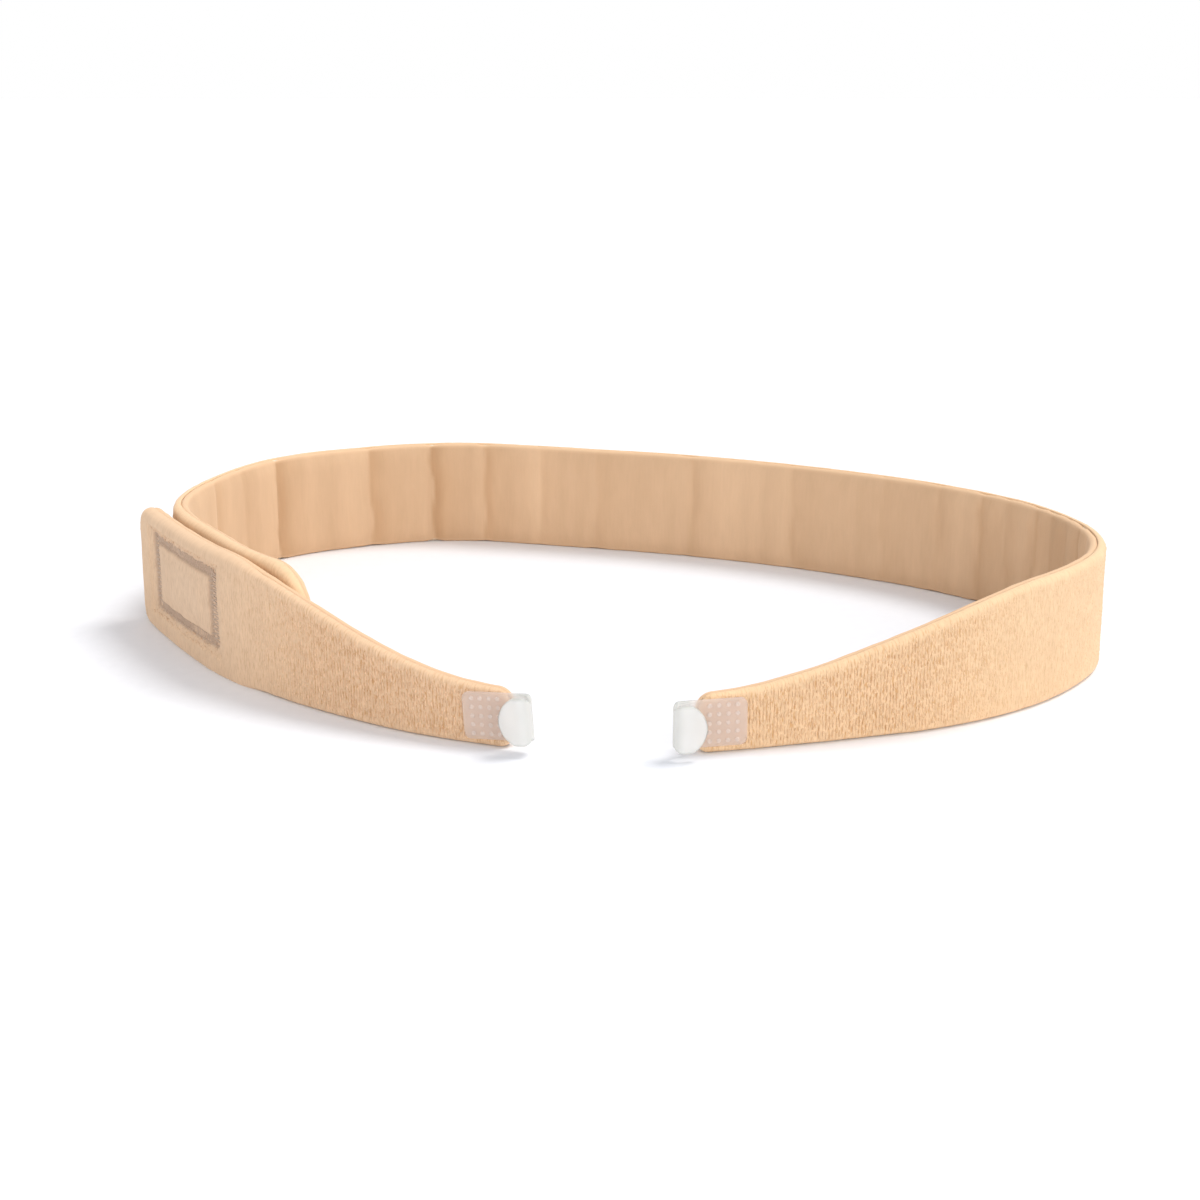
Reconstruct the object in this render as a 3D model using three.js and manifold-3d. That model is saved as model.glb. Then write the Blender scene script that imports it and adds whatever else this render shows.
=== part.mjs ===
// Padded neck-type holder band: two tapered fabric straps joined by a
// hook-and-loop closure, each ending in a moulded J-hook. Millimetres, +Z up,
// standing on its long edge with the open front towards -Y.
import * as THREE from 'three';
import { mergeVertices } from 'three/addons/utils/BufferGeometryUtils.js';
import Module from 'manifold-3d';

const wasm = await Module();
wasm.setup();

// ---------------------------------------------------------------- dimensions
// Straps
const BAND_WIDTH = 25;          // height of the band as it stands
const TAB_WIDTH = 10.8;         // height at each hook end
const TAPER = 74;               // length over which an arm narrows to its tab
const FACING = 0.8;             // looped outer fabric
const FOAM = 1.4;               // foam core
const LINING = 0.5;             // smooth inner fabric
const PLY_GAP = 0.3;            // clearance between neighbouring plies
const THICKNESS = FACING + FOAM + LINING + 2 * PLY_GAP;
const FACING_EDGE = 0.7;        // rounding of the long edges, outer side
const LINING_EDGE = 0.4;        // rounding of the long edges, inner side
const CORE_INSET = 1.2;         // the foam stops short of a sewn end
const TAB_TOP_CORNER = 2.2;
const TAB_LOW_CORNER = 1.2;
const LONG_END_CORNER = 10;     // the long strap's end is nearly a half round
const SHORT_END_CORNER = 4;     // the short strap's free end

// Plan of each strap: a start and a chain of [length, left turn in degrees]
const LONG_START = { x: 15.27, y: -77.43, heading: 12.8 };
const LONG_BENDS = [
  [40, 6], [52, 39.5], [28, 39.5], [30, 30], [30, 16], [70, 19.5], [30, 0.5],
  [30, 38], [12, 4], [12, 12.5], [12, 20.5], [10, 10], [20, 10.5], [10, 11],
  [12, 18.5], [15, 12], [20, -1], [28, 20],
];
const SHORT_START = { x: -99.83, y: 10.24, heading: 295.6 };
const SHORT_BENDS = [
  [31, 4.5], [14, 5], [14, 8], [14, 5.5], [14, 4.5], [16, 8], [9, 7], [10, 1.5],
];

// Flex lines: an arm turns about an upright axis in the strap's mid-plane
const RIGHT_FLEX_AT = 104;      // along the long strap
const LEFT_FLEX_AT = 80;        // along the short strap
const FLEX_GAP = 1.8;

// Hook-and-loop closure
const TAPE = 1.0;               // thickness of the hook tape
const TAPE_START = 8.7;         // along the short strap
const TAPE_LENGTH = 40;
const TAPE_LOW = 4.4;
const TAPE_HEIGHT = 18.6;
const TAPE_CORNER = 2.5;
const STITCH_INSET = 0.8;       // tape edge to the stitch line's outer edge
const STITCH_WIDTH = 2.6;
const STITCH_CORNER = 3;
const STITCH_RISE = 0.3;
const STITCH_CLEARANCE = 0.05;

// Moulded hooks
const HOOK_THICKNESS = 0.8;
const HOOK_HEIGHT = 8.8;
const HOOK_MIDDLE = 5.9;        // middle of a hook above the floor
const PLATE_LENGTH = 9;         // on the fabric
const PLATE_CORNER = 1.2;
const HOOK_REACH = 5;           // past the fabric's end
const HOOK_MOUTH = 1.6;         // gap between plate and finger
const FINGER_OVERLAP = 0.8;     // finger tip past the fabric's end, backwards
const FINGER_TIP = 4.8;         // radius of the rounded tip
const HINGE_BREAK = 0.25;       // break in the moulding at the living hinge
const DOT_ROWS = 5;
const DOT_COLUMNS = 4;
const DOT_ROW_PITCH = 1.65;
const DOT_COLUMN_PITCH = 1.85;
const DOT_MARGIN = 1.5;         // plate edge to the first column
const DOT_RADIUS = 0.7;
const DOT_TIP_RADIUS = 0.25;
const DOT_RISE = 0.2;

// Meshing
const STATION = 4;              // longest step along a strap
const END_STEPS = 8;            // steps round a strap's rounded end
const ARC_SEGMENTS = 5;         // steps in a quarter round of an outline

// ----------------------------------------------------------------- materials
const fabric = (name, color) => new THREE.MeshStandardMaterial({
  name, color, roughness: 0.95, metalness: 0,
});
const materials = {
  facing: fabric('facing', 0xe6bd94),
  foam: fabric('foam', 0xf0e4cf),
  lining: fabric('lining', 0xdab38d),
  tape: fabric('tape', 0xe3dccf),
  stitching: fabric('stitching', 0xb9a08c),
  moulding: new THREE.MeshStandardMaterial({
    name: 'moulding', color: 0xe9e8e4, roughness: 0.4, metalness: 0,
  }),
};

// --------------------------------------------------------------------- paths
const rad = THREE.MathUtils.degToRad;
const cornerList = ['top', 'bottom'];

// A strap's mid-plane seen from above: a chain of arcs.
class StrapPath {
  constructor(start, bends) {
    this.start = start;
    this.bends = bends;
    this.length = bends.reduce((sum, [length]) => sum + length, 0);
  }

  // Position and heading at a distance along the strap.
  at(distance) {
    let { x, y } = this.start;
    let heading = rad(this.start.heading);
    let left = distance;
    for (const [length, turn] of this.bends) {
      const step = Math.min(left, length);
      const angle = rad(turn) * step / length;
      const chord = Math.abs(angle) < 1e-9 ? step : 2 * Math.sin(angle / 2) * step / angle;
      x += chord * Math.cos(heading + angle / 2);
      y += chord * Math.sin(heading + angle / 2);
      heading += angle;
      left -= step;
      if (left <= 0) {
        break;
      }
    }
    return { x, y, heading };
  }

  // s along the strap, n outwards from its mid-plane, z up.
  place(s, n, z) {
    const { x, y, heading } = this.at(s);
    return [x + n * Math.sin(heading), y - n * Math.cos(heading), z];
  }
}

const longPath = new StrapPath(LONG_START, LONG_BENDS);
const shortPath = new StrapPath(SHORT_START, SHORT_BENDS);

// Height of the band at a distance from its hook end.
function bandHeight(fromTab) {
  return TAB_WIDTH + (BAND_WIDTH - TAB_WIDTH) * THREE.MathUtils.smoothstep(fromTab, 0, TAPER);
}

// -------------------------------------------------------------------- helpers
function addMesh(group, name, geometry, material) {
  const mesh = new THREE.Mesh(geometry, material);
  mesh.name = name;
  group.add(mesh);
  return mesh;
}

// Move every vertex of a geometry: the function gets and returns [x, y, z].
function reshape(geometry, move) {
  const position = geometry.getAttribute('position');
  for (let i = 0; i < position.count; i += 1) {
    position.setXYZ(i, ...move(position.getX(i), position.getY(i), position.getZ(i)));
  }
  geometry.computeVertexNormals();
  return geometry;
}

function toSolid(geometry) {
  const bare = geometry.clone();
  bare.deleteAttribute('normal');
  bare.deleteAttribute('uv');
  const merged = mergeVertices(bare, 1e-4);
  return new wasm.Manifold(new wasm.Mesh({
    numProp: 3,
    vertProperties: merged.getAttribute('position').array,
    triVerts: Uint32Array.from(merged.getIndex().array),
  }));
}

function toGeometry(solid) {
  const mesh = solid.getMesh();
  const geometry = new THREE.BufferGeometry();
  geometry.setAttribute('position', new THREE.BufferAttribute(mesh.vertProperties, 3));
  geometry.setIndex(new THREE.BufferAttribute(mesh.triVerts, 1));
  geometry.computeVertexNormals();
  return geometry;
}

// A rounded rectangle as a list of points, counter-clockwise.
function roundedRectangle(x0, x1, y0, y1, radius) {
  const corners = [
    [x1 - radius, y0 + radius, -90],
    [x1 - radius, y1 - radius, 0],
    [x0 + radius, y1 - radius, 90],
    [x0 + radius, y0 + radius, 180],
  ];
  const points = [];
  for (const [x, y, first] of corners) {
    for (let i = 0; i <= ARC_SEGMENTS; i += 1) {
      const angle = rad(first + 90 * i / ARC_SEGMENTS);
      points.push(new THREE.Vector2(x + radius * Math.cos(angle), y + radius * Math.sin(angle)));
    }
  }
  return points;
}

// ----------------------------------------------------------------- strap plies
// How far a rounded corner draws an edge in, at a distance from the end.
function cornerInset(radius, distance) {
  const across = Math.max(radius - distance, 0);
  return radius - Math.sqrt(radius * radius - across * across);
}

// Distances along a strap at which its section is drawn.
function stations(from, to, startRadius, endRadius) {
  const low = from + startRadius;
  const high = to - endRadius;
  const steps = Math.ceil((high - low) / STATION);
  const list = [];
  for (let i = 0; i < END_STEPS && startRadius > 0; i += 1) {
    list.push(low - startRadius * Math.cos(rad(90 * i / END_STEPS)));
  }
  for (let i = 0; i <= steps; i += 1) {
    list.push(low + (high - low) * i / steps);
  }
  for (let i = 1; i <= END_STEPS && endRadius > 0; i += 1) {
    list.push(high + endRadius * Math.sin(rad(90 * i / END_STEPS)));
  }
  return list;
}

// The section of a ply across the strap: x outwards, y up. The long edges are
// rounded on the outer side, or on the inner one when edge is negative.
function sectionShape(low, high, height, edge) {
  const round = Math.abs(edge);
  const face = edge < 0 ? low : high;
  const back = edge < 0 ? high : low;
  const turn = Math.sign(face - back) * round;
  const shape = new THREE.Shape();
  shape.moveTo(back, 0);
  shape.lineTo(face - turn, 0);
  shape.quadraticCurveTo(face, 0, face, round);
  shape.lineTo(face, height - round);
  shape.quadraticCurveTo(face, height, face - turn, height);
  shape.lineTo(back, height);
  shape.closePath();
  return shape;
}

// One ply: a straight extrusion of its section, bent along the strap's path
// and drawn in to the strap's height and its rounded ends.
function plyGeometry(strap, { low, high, edge = 0, inset = 0 }) {
  const { path, height, base = 0 } = strap;
  const start = { top: 0, bottom: 0, ...strap.startCorners };
  const end = { top: 0, bottom: 0, ...strap.endCorners };
  const from = strap.from + (strap.startCorners ? inset : 0);
  const to = strap.to - (strap.endCorners ? inset : 0);
  const largest = (corners) => Math.max(...cornerList.map((corner) => corners[corner]));
  const list = stations(from, to, largest(start), largest(end));
  const section = sectionShape(low, high, BAND_WIDTH, edge);
  const steps = list.length - 1;
  const geometry = new THREE.ExtrudeGeometry(section, {
    depth: steps, steps, bevelEnabled: false, curveSegments: 3,
  });
  return reshape(geometry, (n, up, index) => {
    const s = list[steps - Math.round(index)];
    const drawn = (side) => cornerInset(start[side], s - from) + cornerInset(end[side], to - s);
    const z = up < BAND_WIDTH / 2
      ? base + drawn('bottom') + up
      : height(s) - drawn('top') - (BAND_WIDTH - up);
    return path.place(s, n, z);
  });
}

const half = THICKNESS / 2;
const plies = {
  lining: { low: -half, high: -half + LINING, edge: -LINING_EDGE },
  foam: { low: -half + LINING + PLY_GAP, high: half - FACING - PLY_GAP, inset: CORE_INSET },
  facing: { low: half - FACING, high: half, edge: FACING_EDGE },
};

function addPlies(group, prefix, strap) {
  for (const [name, ply] of Object.entries(plies)) {
    addMesh(group, `${prefix}_${name}`, plyGeometry(strap, ply), materials[name]);
  }
}

const tabCorners = { top: TAB_TOP_CORNER, bottom: TAB_LOW_CORNER };
const longHeight = (s) => bandHeight(s);
const shortHeight = (s) => bandHeight(shortPath.length - s);

// --------------------------------------------------------------------- closure
// A sheet with round corners that follows the short strap, smaller than the
// hook tape by inset all round.
function patchGeometry(inset, radius, low, high) {
  const corners = { top: radius, bottom: radius };
  const patch = {
    path: shortPath,
    height: () => TAPE_LOW + TAPE_HEIGHT - inset,
    base: TAPE_LOW + inset,
    from: TAPE_START + inset,
    to: TAPE_START + TAPE_LENGTH - inset,
    startCorners: corners,
    endCorners: corners,
  };
  return plyGeometry(patch, { low, high });
}

// The band of zig-zag stitches that holds the tape and shows on the outside:
// a patch with a smaller one cut out of it.
function stitchingGeometry() {
  const low = half + STITCH_CLEARANCE;
  const high = low + STITCH_RISE;
  const outer = patchGeometry(STITCH_INSET, STITCH_CORNER, low, high);
  const inset = STITCH_INSET + STITCH_WIDTH;
  const inner = patchGeometry(inset, STITCH_CORNER / 2, low - STITCH_RISE, high + STITCH_RISE);
  return toGeometry(toSolid(outer).subtract(toSolid(inner)));
}

// ----------------------------------------------------------------------- hooks
// A hook in its own axes: x from the fabric's end back over the fabric, y
// outwards from the strap's mid-plane, z across, with z = 0 at mid-height.
const plateLow = half + PLY_GAP;
const plateHigh = plateLow + HOOK_THICKNESS;
const fingerLow = plateHigh + HOOK_MOUTH;
const fingerHigh = fingerLow + HOOK_THICKNESS;
const bendRadius = (fingerHigh - plateLow) / 2;
const bendX = bendRadius - HOOK_REACH;
const bendY = (fingerHigh + plateLow) / 2;

function extrudeAcross(shape) {
  const geometry = new THREE.ExtrudeGeometry(shape, {
    depth: HOOK_HEIGHT, bevelEnabled: false, curveSegments: 2 * ARC_SEGMENTS,
  });
  return geometry.translate(0, 0, -HOOK_HEIGHT / 2);
}

// An outline in x and z, extruded along y through the whole hook.
function extrudeOutwards(points) {
  const depth = 2 * fingerHigh;
  const geometry = new THREE.ExtrudeGeometry(new THREE.Shape(points), {
    depth, bevelEnabled: false,
  });
  return geometry.rotateX(Math.PI / 2).translate(0, depth, 0);
}

function hookBaseGeometry() {
  const profile = new THREE.Shape();
  profile.moveTo(PLATE_LENGTH, plateLow);
  profile.lineTo(PLATE_LENGTH, plateHigh);
  profile.lineTo(bendX, plateHigh);
  profile.absarc(bendX, bendY, bendRadius - HOOK_THICKNESS, rad(270), rad(90), true);
  profile.absarc(bendX, bendY, bendRadius, rad(90), rad(270), false);
  profile.closePath();
  const outline = roundedRectangle(
    -HOOK_REACH - 1, PLATE_LENGTH, -HOOK_HEIGHT / 2, HOOK_HEIGHT / 2, PLATE_CORNER,
  );
  let solid = toSolid(extrudeAcross(profile)).intersect(toSolid(extrudeOutwards(outline)));
  const sunk = HOOK_THICKNESS / 2;
  for (let row = 0; row < DOT_ROWS; row += 1) {
    for (let column = 0; column < DOT_COLUMNS; column += 1) {
      const dot = new THREE.CylinderGeometry(DOT_TIP_RADIUS, DOT_RADIUS, DOT_RISE + sunk, 8);
      dot.translate(
        PLATE_LENGTH - DOT_MARGIN - column * DOT_COLUMN_PITCH,
        plateHigh + (DOT_RISE - sunk) / 2,
        (row - (DOT_ROWS - 1) / 2) * DOT_ROW_PITCH,
      );
      solid = solid.add(toSolid(dot));
    }
  }
  return toGeometry(solid);
}

// The finger's outline: straight sides and a tip that is less than a half round.
function fingerGeometry() {
  const tipHalf = HOOK_HEIGHT / 2;
  const sweep = Math.asin(tipHalf / FINGER_TIP);
  const centre = FINGER_OVERLAP - FINGER_TIP;
  const root = bendX + HINGE_BREAK;
  const shape = new THREE.Shape();
  shape.moveTo(root, -tipHalf);
  shape.lineTo(centre + FINGER_TIP * Math.cos(sweep), -tipHalf);
  shape.absarc(centre, 0, FINGER_TIP, -sweep, sweep, false);
  shape.lineTo(root, tipHalf);
  shape.closePath();
  const geometry = new THREE.ExtrudeGeometry(shape, {
    depth: HOOK_THICKNESS, bevelEnabled: false, curveSegments: 2 * ARC_SEGMENTS,
  });
  return geometry.rotateX(Math.PI / 2).translate(0, fingerHigh, 0);
}

// Stand a hook at a strap's end. It is the same moulding at both ends, turned
// over for the right one; towards is 1 where the strap starts, -1 where it ends.
function placeHook(hook, path, towards) {
  const { x, y, heading } = path.at(towards > 0 ? 0 : path.length);
  const along = new THREE.Vector3(Math.cos(heading), Math.sin(heading), 0).multiplyScalar(towards);
  const outwards = new THREE.Vector3(Math.sin(heading), -Math.cos(heading), 0);
  const across = new THREE.Vector3().crossVectors(along, outwards);
  hook.position.set(x, y, HOOK_MIDDLE);
  hook.quaternion.setFromRotationMatrix(new THREE.Matrix4().makeBasis(along, outwards, across));
}

const baseGeometry = hookBaseGeometry();
const hookFingerGeometry = fingerGeometry();

function makeHook(side, path, towards) {
  const hook = new THREE.Group();
  hook.name = `${side}_hook`;
  addMesh(hook, `${side}_hook_base`, baseGeometry, materials.moulding);
  addMesh(hook, `${side}_hook_finger`, hookFingerGeometry, materials.moulding);
  placeHook(hook, path, towards);
  return hook;
}

// -------------------------------------------------------------------- assembly
function makeLongStrap() {
  const strap = new THREE.Group();
  strap.name = 'long_strap';
  addPlies(strap, 'back', {
    path: longPath,
    height: longHeight,
    from: RIGHT_FLEX_AT + FLEX_GAP,
    to: longPath.length,
    endCorners: { top: LONG_END_CORNER, bottom: LONG_END_CORNER },
  });
  addPlies(strap, 'right_arm', {
    path: longPath,
    height: longHeight,
    from: 0,
    to: RIGHT_FLEX_AT,
    startCorners: tabCorners,
  });
  strap.add(makeHook('right', longPath, 1));
  return strap;
}

function makeShortStrap() {
  const strap = new THREE.Group();
  strap.name = 'short_strap';
  addPlies(strap, 'side', {
    path: shortPath,
    height: shortHeight,
    from: 0,
    to: LEFT_FLEX_AT - FLEX_GAP,
    startCorners: { top: SHORT_END_CORNER, bottom: SHORT_END_CORNER },
  });
  addPlies(strap, 'left_arm', {
    path: shortPath,
    height: shortHeight,
    from: LEFT_FLEX_AT,
    to: shortPath.length,
    endCorners: tabCorners,
  });
  const tapeHigh = -half - PLY_GAP;
  const tape = patchGeometry(0, TAPE_CORNER, tapeHigh - TAPE, tapeHigh);
  addMesh(strap, 'hook_tape', tape, materials.tape);
  addMesh(strap, 'tape_stitching', stitchingGeometry(), materials.stitching);
  strap.add(makeHook('left', shortPath, -1));
  return strap;
}

const band = new THREE.Group();
band.name = 'neck_holder_band';
band.add(makeLongStrap(), makeShortStrap());

export default band;
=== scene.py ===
"""Padded neck-type holder band: terry facing, foam core, brushed lining, a
hook-and-loop closure and two moulded J-hooks. Run as a script in Blender."""
import math

import bmesh
import bpy
import numpy as np
from bpy.props import FloatProperty, IntProperty, StringProperty
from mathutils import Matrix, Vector


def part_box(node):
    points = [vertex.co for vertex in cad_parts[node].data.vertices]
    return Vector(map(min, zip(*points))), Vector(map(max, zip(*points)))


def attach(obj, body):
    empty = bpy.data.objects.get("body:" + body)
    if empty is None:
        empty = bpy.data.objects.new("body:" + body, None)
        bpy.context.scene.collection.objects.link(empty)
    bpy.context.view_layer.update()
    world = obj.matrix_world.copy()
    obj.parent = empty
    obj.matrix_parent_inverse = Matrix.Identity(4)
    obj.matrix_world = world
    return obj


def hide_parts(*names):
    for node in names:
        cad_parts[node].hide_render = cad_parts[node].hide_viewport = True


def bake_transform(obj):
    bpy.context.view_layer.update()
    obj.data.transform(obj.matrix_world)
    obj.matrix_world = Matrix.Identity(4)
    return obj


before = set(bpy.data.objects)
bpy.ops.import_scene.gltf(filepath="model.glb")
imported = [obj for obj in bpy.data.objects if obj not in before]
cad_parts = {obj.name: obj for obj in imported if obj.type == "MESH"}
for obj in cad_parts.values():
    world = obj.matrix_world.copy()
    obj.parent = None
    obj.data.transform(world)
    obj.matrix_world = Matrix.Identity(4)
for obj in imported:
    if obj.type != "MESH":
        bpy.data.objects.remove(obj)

bl_info = {
    "name": "Padded Neck Holder Band",
    "version": (1, 0, 0),
    "blender": (4, 5, 0),
    "location": "View3D > Sidebar > Neck Band",
    "description": "Builds the fabric, closure and hooks of a padded neck holder band",
    "category": "Object",
}

MM = 0.001

# ------------------------------------------------------------------ the band's plan
# A strap's mid-plane from above: start (x, y, heading in degrees), then a
# chain of [length, left turn in degrees]. Millimetres, as in the CAD model. The
# lengths were chosen. The starts and turns are rounded results of a
# least-squares fit, and some were changed afterwards.
LONG_START = (15.27, -77.43, 12.8)
LONG_BENDS = [
    [40, 6], [52, 39.5], [28, 39.5], [30, 30], [30, 16], [70, 19.5], [30, 0.5],
    [30, 38], [12, 4], [12, 12.5], [12, 20.5], [10, 10], [20, 10.5], [10, 11],
    [12, 18.5], [15, 12], [20, -1], [28, 20],
]
SHORT_START = (-99.83, 10.24, 295.6)
SHORT_BENDS = [
    [31, 4.5], [14, 5], [14, 8], [14, 5.5], [14, 4.5], [16, 8], [9, 7], [10, 1.5],
]
ARM_PART = 128 * MM             # the long strap's pile is split here

# ------------------------------------------------------------------ the strap's make-up
BAND_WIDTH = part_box("back_facing")[1].z
TAB_WIDTH = 10.8 * MM
TAPER = 74 * MM
HALF = 1.65 * MM                # half the strap's thickness
FACING = 0.7 * MM
LINING = 0.45 * MM
SEAM_OFF = 0.1 * MM             # the closing seam lies this far inwards of the middle
OUTSIDE, INSIDE = 1, -1
EDGE_ROUND = {OUTSIDE: 1.3 * MM, INSIDE: 0.9 * MM}  # rounding of the long edges
SEAM_ANGLE = {
    side: math.asin((HALF - EDGE_ROUND[side] + side * SEAM_OFF) / EDGE_ROUND[side])
    for side in (OUTSIDE, INSIDE)
}
SEAM_REACH = {side: EDGE_ROUND[side] * SEAM_ANGLE[side] for side in (OUTSIDE, INSIDE)}
CORE_GAP = 0.12 * MM            # foam to fabric
TAB_CORNERS = (2.3 * MM, 3.2 * MM)          # low and high corner
LONG_END_CORNERS = (10 * MM, 10 * MM)
SHORT_END_CORNERS = (4 * MM, 5 * MM)

PILE_SUNK = 0.17 * MM           # how far a loop that lies flat sinks into the ground

# Closure
TAPE_FROM = 8.7 * MM
TAPE_TO = 48.7 * MM
TAPE_LOW = 4.4 * MM
TAPE_HIGH = 23 * MM
TAPE_FACE = -HALF - 0.3 * MM
TAPE_BACK = 0.45 * MM           # thickness of the tape's woven ground
TAPE_CORNER = 2.5 * MM
TAPE_HOOK_PITCH = 0.95 * MM
TAPE_HOOK_RISE = 0.55 * MM
SEAM_FROM = 9.6 * MM            # outer edge of the sewn rectangle
SEAM_TO = 47.8 * MM
SEAM_LOW = 4.9 * MM
SEAM_HIGH = 22.1 * MM
SEAM_WIDTH = 2.7 * MM           # along the strap's edges
SEAM_END_WIDER = 1.7            # the two ends are this many times wider
SEAM_DEPTH = 0.8 * MM
STITCH_PITCH = 0.5 * MM
STITCH_RADIUS = 0.15 * MM

# Hooks
HOOK_MIDDLE = 5.9 * MM
HOOK_HEIGHT = 8.8 * MM
HOOK_THICKNESS = 0.8 * MM
PLATE_LENGTH = 9 * MM
PLATE_LOW = 1.42 * MM           # the plate is welded into the pile
PLATE_CORNER = 1.3 * MM
HOOK_REACH = 5 * MM
FINGER_HIGH = 5.15 * MM
FINGER_OVERLAP = 0.8 * MM
FINGER_TIP = 4.8 * MM
FOLD_CORNER = 1.2 * MM
HOOK_ROUND = 0.16 * MM
EDGE_SHADE_WIDTH = 0.6 * MM           # how far in from its outline the painted shade on a hook's edges reaches
DOT_ROWS = 5
DOT_COLUMNS = 4
DOT_ROW_PITCH = 1.65 * MM
DOT_COLUMN_PITCH = 1.72 * MM
DOT_MARGIN = 1.9 * MM
DOT_RADIUS = 0.44 * MM
DOT_RISE = 0.16 * MM
WELD_COVER = 0.36               # how much the welded and the free wall hide
FREE_COVER = 0.66
DOT_FREE = 0.18

# Tints that multiply or lighten a fabric's colour
# painted shade in the gaps between the terry's loops
GAP_SHADE_TINT = (0.80, 0.66, 0.50)
# tints the short strap greyer and cooler towards its closure end and in the sewn rectangle
GREYING_TINT = (0.96, 0.99, 1.05, 1)
# painted shade beside the lining's creases
CREASE_SHADE_TINT = (0.80, 0.72, 0.63, 1)
RIM_LIGHTER = 1.18
EDGE_SHADE_TINT = (0.76, 0.78, 0.76)  # painted shade, greyer, along a hook's edges and across its fold

# Light
SKY_LOW = (1.0, 1.0, 1.0, 1)
SKY_HIGH = (0.5, 0.51, 0.53, 1)
LIGHTS = (                      # name, where from, power, spread in degrees, colour
    ("key_softlight", (0.65, 0.3, 1.3), 1.68, 26, "fffbf6"),
    ("front_softlight", (0.4, -1.0, 0.35), 1.0, 60, "fffcf8"),
)

FLOOR_Z = -0.05 * MM
FLOOR_TONES = ("f2f5fb", "f4f7fd")
SHEEN_TINT = "ffe9cf"           # the bloom on the terry

# Camera
CAMERA_AT = (-1.74 * MM, -417.66 * MM, 122.5 * MM)
CAMERA_DOWN = 15.5              # degrees
CAMERA_LENS = 60.58             # mm, on a sensor 36 mm wide
SENSOR_WIDTH = 36

LEFT_HOOK_TILT = 4              # degrees that the left hook is sewn off level

# Vertical creases pressed into the lining: [place, depth], both in mm
CREASES = [
    [113, 0.3], [119.5, 0.5], [126, 0.3], [132, 0.55], [139, 0.5], [147, 0.3], [155, 0.45],
    [167, 0.2], [182, 0.15], [205.5, 0.2], [232, 0.22], [256.5, 0.2], [271, 0.2],
    [286, 0.5], [299.5, 0.75], [315.5, 0.6], [342, 0.7], [356, 0.2], [369, 0.35],
]
CREASE_FADE = 4.5 * MM          # the painted crease shade fades over this to one side of a crease
CREASE_EDGE = 0.9 * MM          # and over this to the other


# ------------------------------------------------------------------ settings
def linear(code):
    """An sRGB hex colour such as 'e6bd94' as linear RGBA."""
    parts = [int(code[i:i + 2], 16) / 255 for i in (0, 2, 4)]
    return (*[p / 12.92 if p <= 0.04045 else ((p + 0.055) / 1.055) ** 2.4 for p in parts], 1)


class NeckBandColours(bpy.types.PropertyGroup):
    """Colours of the band's materials, as sRGB hex."""
    long_terry: StringProperty(name="Long strap", description="Terry of the long strap", default="e9c7a1")
    # a darker copy of the long strap's terry colour: painted shade for the left arm, which is turned away
    # from the light
    short_terry_shaded: StringProperty(name="Short strap", description="Terry of the short strap", default="e3c19f")
    lining: StringProperty(name="Lining", description="Brushed lining inside the band", default="d8b694")
    foam: StringProperty(name="Foam", description="Foam core", default="f0e4cf")
    tape: StringProperty(name="Hook tape", description="Nylon hook tape", default="e3dccf")
    thread: StringProperty(name="Thread", description="Closure stitching", default="c4aa94")
    # partly the stitched terry's own taupe, partly painted shade in the stitched groove
    groove: StringProperty(name="Groove", description="Terry pressed under the stitching", default="b89d88")
    moulding: StringProperty(name="Hooks", description="Moulded hooks", default="f0efec")
    weld: StringProperty(name="Welded wall", description="The hooks' welded plates", default="efddd2")


class NeckBandSizes(bpy.types.PropertyGroup):
    """Sizes of the band's fine detail."""
    pile_width: FloatProperty(
        name="Pile yarn", description="Thickness of a pile loop", default=0.35 * MM, unit="LENGTH")
    pile_length: FloatProperty(
        name="Pile length", description="Length of a pile loop", default=1.05 * MM, unit="LENGTH")
    pile_rise: FloatProperty(
        name="Pile rise", description="Height of a pile loop", default=0.2 * MM, unit="LENGTH")
    arm_pitch: FloatProperty(
        name="Arm pile spacing", description="Spacing of the loops on the arms",
        default=0.66 * MM, unit="LENGTH")
    back_pitch: FloatProperty(
        name="Back pile spacing", description="Spacing of the loops behind the neck",
        default=0.95 * MM, unit="LENGTH")
    seed: IntProperty(name="Seed", description="Start of the random numbers", default=7)


# ------------------------------------------------------------------ paths and straps
class StrapPath:
    """A strap's mid-plane as a chain of arcs, in metres."""

    def __init__(self, start, bends):
        x, y, heading = start[0] * MM, start[1] * MM, math.radians(start[2])
        knots, arcs = [0.0], []
        for length, turn in bends:
            curve = math.radians(turn) / (length * MM)
            arcs.append((x, y, heading, curve))
            angle = curve * length * MM
            chord = length * MM * np.sinc(angle / 2 / math.pi)
            x += chord * math.cos(heading + angle / 2)
            y += chord * math.sin(heading + angle / 2)
            heading += angle
            knots.append(knots[-1] + length * MM)
        self.knots, self.arcs, self.length = np.array(knots), np.array(arcs), knots[-1]

    def place(self, s, n, z):
        """s along the strap, n outwards from its mid-plane and z up, to x, y and z."""
        s = np.asarray(s, float)
        i = np.clip(np.searchsorted(self.knots, s, side="right") - 1, 0, len(self.arcs) - 1)
        x, y, heading, curve = self.arcs[i].T
        step = s - self.knots[i]
        angle = curve * step
        chord = step * np.sinc(angle / 2 / math.pi)
        x = x + chord * np.cos(heading + angle / 2) + n * np.sin(heading + angle)
        y = y + chord * np.sin(heading + angle / 2) - n * np.cos(heading + angle)
        return np.stack([x, y, z + 0 * s], -1)

    def heading(self, s):
        """The strap's direction at s, in radians."""
        i = min(np.searchsorted(self.knots, s, side="right") - 1, len(self.arcs) - 1)
        return self.arcs[i][2] + self.arcs[i][3] * (s - self.knots[i])


def smooth(x):
    """Smooth step from 0 to 1."""
    x = np.clip(x, 0, 1)
    return x * x * (3 - 2 * x)


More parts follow.
